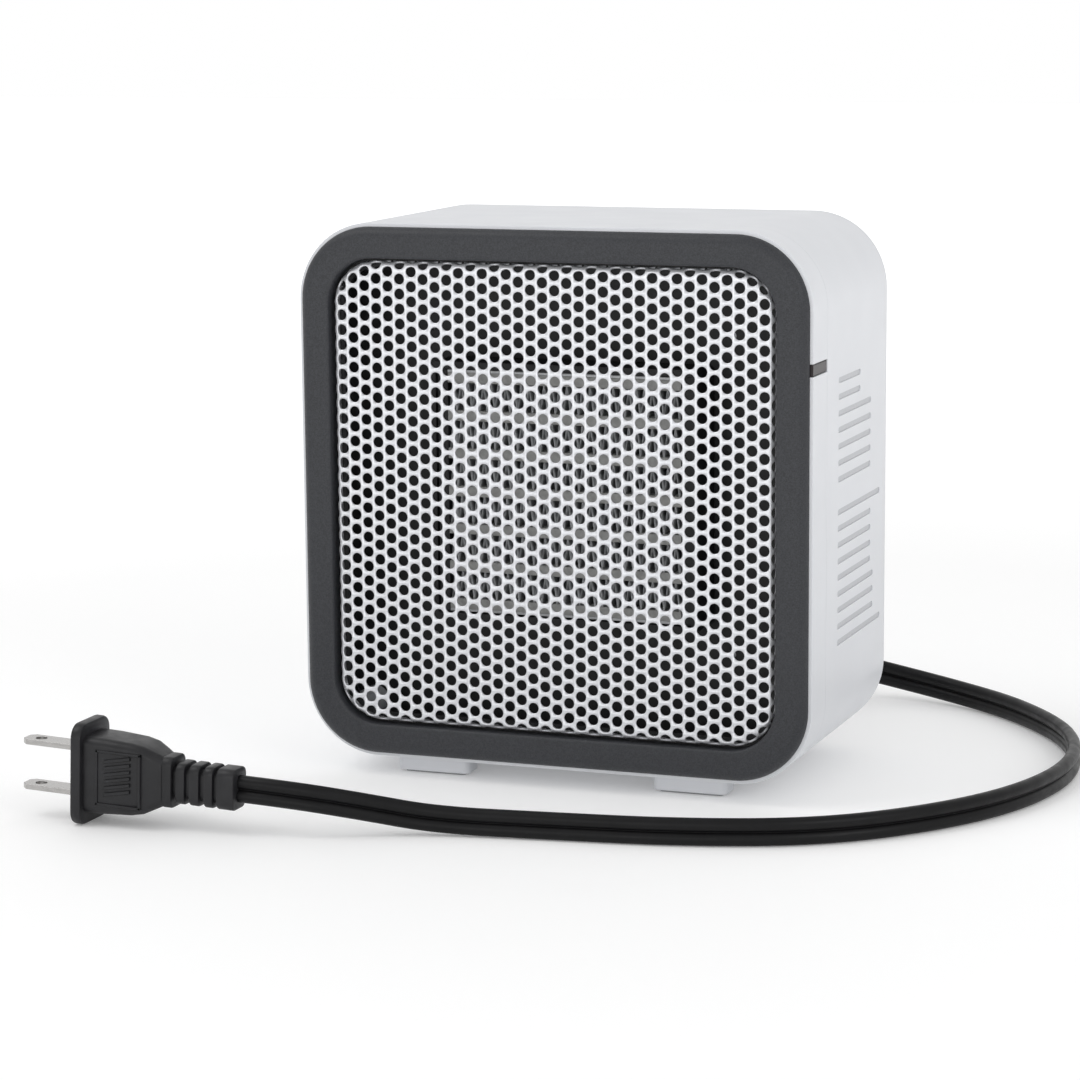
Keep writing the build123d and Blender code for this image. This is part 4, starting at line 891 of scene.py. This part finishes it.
class HEATER_OT_casing(bpy.types.Operator):
    """Finish the white front ring, shell, rear cover and feet"""

    bl_idname = "heater.casing"
    bl_label = "Casing"

    def execute(self, context):
        sizes = context.scene.heater_casing
        white = white_plastic(sizes.white)
        for node in ("front_ring", "housing_shell", "rear_cover"):
            piece = self.moulding(node, white, "white_plastic", sizes)
            if node == "housing_shell":
                self.keep_grooves_crisp(piece, sizes)
                self.paint_shade_in_grooves(piece, sizes)
        pad = rubber()
        for corner in ("front_left", "front_right", "rear_left", "rear_right"):
            self.moulding(corner + "_foot", white, "white_plastic", sizes)
            moulded_copy(
                corner + "_foot_pad", corner + "_foot_rubber", pad, "heater", "rubber_pad",
                sizes.soft_edge,
            )
        return {"FINISHED"}

    def moulding(self, node, material, slot, sizes):
        return moulded_copy(node, node + "_moulding", material, "heater", slot, sizes.soft_edge)

    def keep_grooves_crisp(self, piece, sizes):
        """Weights the shell's hard edges for rounding, all but those of the side grooves."""
        deep_x = BODY_HIGH.x - sizes.groove_depth - NEAR
        shape = bmesh.new()
        shape.from_mesh(piece.data)
        weight = shape.edges.layers.float.new("bevel_weight_edge")
        for edge in shape.edges:
            hard = edge.calc_face_angle(0.0) > HARD_ANGLE
            groove = all(
                abs(vertex.co.x) > deep_x and GROOVES_FRONT_Y < vertex.co.y < GROOVES_BACK_Y
                for vertex in edge.verts
            )
            edge[weight] = 1.0 if hard and not groove else 0.0
        shape.to_mesh(piece.data)
        shape.free()
        piece.modifiers["soft_edges"].limit_method = "WEIGHT"

    def paint_shade_in_grooves(self, piece, sizes):
        """Gives the floors of the side grooves a darker colour as painted shade, with a matt grain."""
        floor_x = BODY_HIGH.x - sizes.groove_depth
        # the groove floors take the white at 80 per cent: painted shade in the recess
        piece.data.materials.append(groove_shade_plastic(tint(sizes.white, 0.80)))
        for face in piece.data.polygons:
            if abs(abs(face.center.x) - floor_x) < NEAR and abs(face.normal.x) > 0.9:
                face.material_index = 1


class HEATER_OT_bezel(bpy.types.Operator):
    """Finish the charcoal front bezel"""

    bl_idname = "heater.bezel"
    bl_label = "Bezel"

    def execute(self, context):
        sizes = context.scene.heater_casing
        charcoal = bezel_plastic(sizes.charcoal)
        moulded_copy("front_bezel", "bezel", charcoal, "heater", "bezel_plastic", 0)
        return {"FINISHED"}


class HEATER_OT_grille(bpy.types.Operator):
    """Punch the staggered holes and roll back the edge of the grille"""

    bl_idname = "heater.grille"
    bl_label = "Grille"

    def execute(self, context):
        sizes = context.scene.heater_grille
        shape = perforated_sheet(sizes)
        lacquer = silver_lacquer(sizes.silver)
        piece = finished(
            shape, "grille", lacquer, "heater", "grille_metal", "front_grille", sharp=50
        )
        wall = piece.modifiers.new("sheet", "SOLIDIFY")
        wall.thickness = sizes.sheet
        wall.offset = -1.0
        return {"FINISHED"}


class HEATER_OT_core(bpy.types.Operator):
    """Fold the fins between the ceramic bars of the heater core"""

    bl_idname = "heater.core"
    bl_label = "Heater core"

    def execute(self, context):
        sizes = context.scene.heater_core
        foil = bare_metal("fin_foil", sizes.silver, 0.42)
        rows = self.fin_rows(sizes)
        fins = finished(rows, "fins", foil, "heater", "aluminium_fin", "ptc_fins", sharp=30)
        sheet = fins.modifiers.new("foil", "SOLIDIFY")
        sheet.thickness = sizes.foil
        sheet.offset = 0.0
        moulded_copy("ptc_end_plates", "end_plates", foil, "heater", "aluminium_fin", 0.1 * MM)
        moulded_copy("ptc_ceramic_bars", "ceramic_bars", ceramic(), "heater", "ceramic", 0.15 * MM)
        return {"FINISHED"}

    def fin_rows(self, sizes):
        """Zigzag foil in every gap between the ceramic bars, folded from side to side."""
        low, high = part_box("ptc_fins")
        bars_low, bars_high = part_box("ptc_ceramic_bars")
        rows = sizes.rows
        bar = sizes.bar
        step = (bars_high.z - bars_low.z - bar) / rows
        turns = int((high.x - low.x - 2 * sizes.foil) / sizes.fold)
        start = (low.x + high.x - turns * sizes.fold) / 2
        shape = bmesh.new()
        for row in range(rows):
            bottom = bars_low.z + bar + row * step + sizes.foil / 2
            top = bars_low.z + (row + 1) * step - sizes.foil / 2
            spots = []
            for turn in range(turns + 1):
                x = start + turn * sizes.fold
                flat = sizes.fold * 0.14
                z = top if turn % 2 else bottom
                spots += [(x - flat, z), (x + flat, z)]
            front = [shape.verts.new((x, low.y, z)) for x, z in spots]
            back = [shape.verts.new((x, high.y, z)) for x, z in spots]
            for index in range(len(spots) - 1):
                shape.faces.new((front[index], front[index + 1], back[index + 1], back[index]))
        return shape


class HEATER_OT_inside(bpy.types.Operator):
    """Finish the pieces inside the casing, the switch and the indicator"""

    bl_idname = "heater.inside"
    bl_label = "Inside"

    def execute(self, context):
        sizes = context.scene.heater_casing
        black = black_plastic(sizes.black)
        steel = bare_metal("zinc_steel", (0.58, 0.59, 0.61), 0.32)
        brass = bare_metal("brass", (0.72, 0.52, 0.24), 0.30)
        finishes = {
            "black_plastic": black,
            "fan_plastic": black,
            "steel": steel,
            "brass": brass,
            "nickel": steel,
            "ferrite": black,
            "circuit_board": board_paper(),
            "wire_insulation": black,
            "smoked_lens": smoked_lens(),
            "neon_glass": neon_glass(),
            "rocker_plastic": gloss_black(),
            "white_plastic": bpy.data.materials["white_abs"],
        }
        for part in frame["record"]["subparts"]:
            thing = frame["nodes"][part["node"]]
            if not thing.hide_render and part["material_slot"] in finishes:
                paint(thing, finishes[part["material_slot"]])
        return {"FINISHED"}


class HEATER_PT_panel(bpy.types.Panel):
    """Lists the heater's pieces in the sidebar"""

    bl_idname = "HEATER_PT_panel"
    bl_label = "Ceramic Space Heater"
    bl_space_type = "VIEW_3D"
    bl_region_type = "UI"
    bl_category = "Heater"

    def draw(self, context):
        for operator in OPERATORS:
            self.layout.operator(operator.bl_idname)


GROUPS = {
    "heater_casing": HeaterCasing,
    "heater_grille": HeaterGrille,
    "heater_core": HeaterCore,
    "heater_lead": HeaterLead,
    "heater_stage": HeaterStage,
}
OPERATORS = (
    HEATER_OT_stage,
    HEATER_OT_lead,
    HEATER_OT_casing,
    HEATER_OT_bezel,
    HEATER_OT_grille,
    HEATER_OT_core,
    HEATER_OT_inside,
)


def register():
    for item in (*GROUPS.values(), *OPERATORS, HEATER_PT_panel):
        bpy.utils.register_class(item)
    for name, group in GROUPS.items():
        setattr(bpy.types.Scene, name, bpy.props.PointerProperty(type=group))


def unregister():
    for name in GROUPS:
        delattr(bpy.types.Scene, name)
    for item in reversed((*GROUPS.values(), *OPERATORS, HEATER_PT_panel)):
        bpy.utils.unregister_class(item)


def main():
    register()
    for operator in OPERATORS:
        group, name = operator.bl_idname.split(".")
        getattr(getattr(bpy.ops, group), name)()


if __name__ == "__main__":
    main()
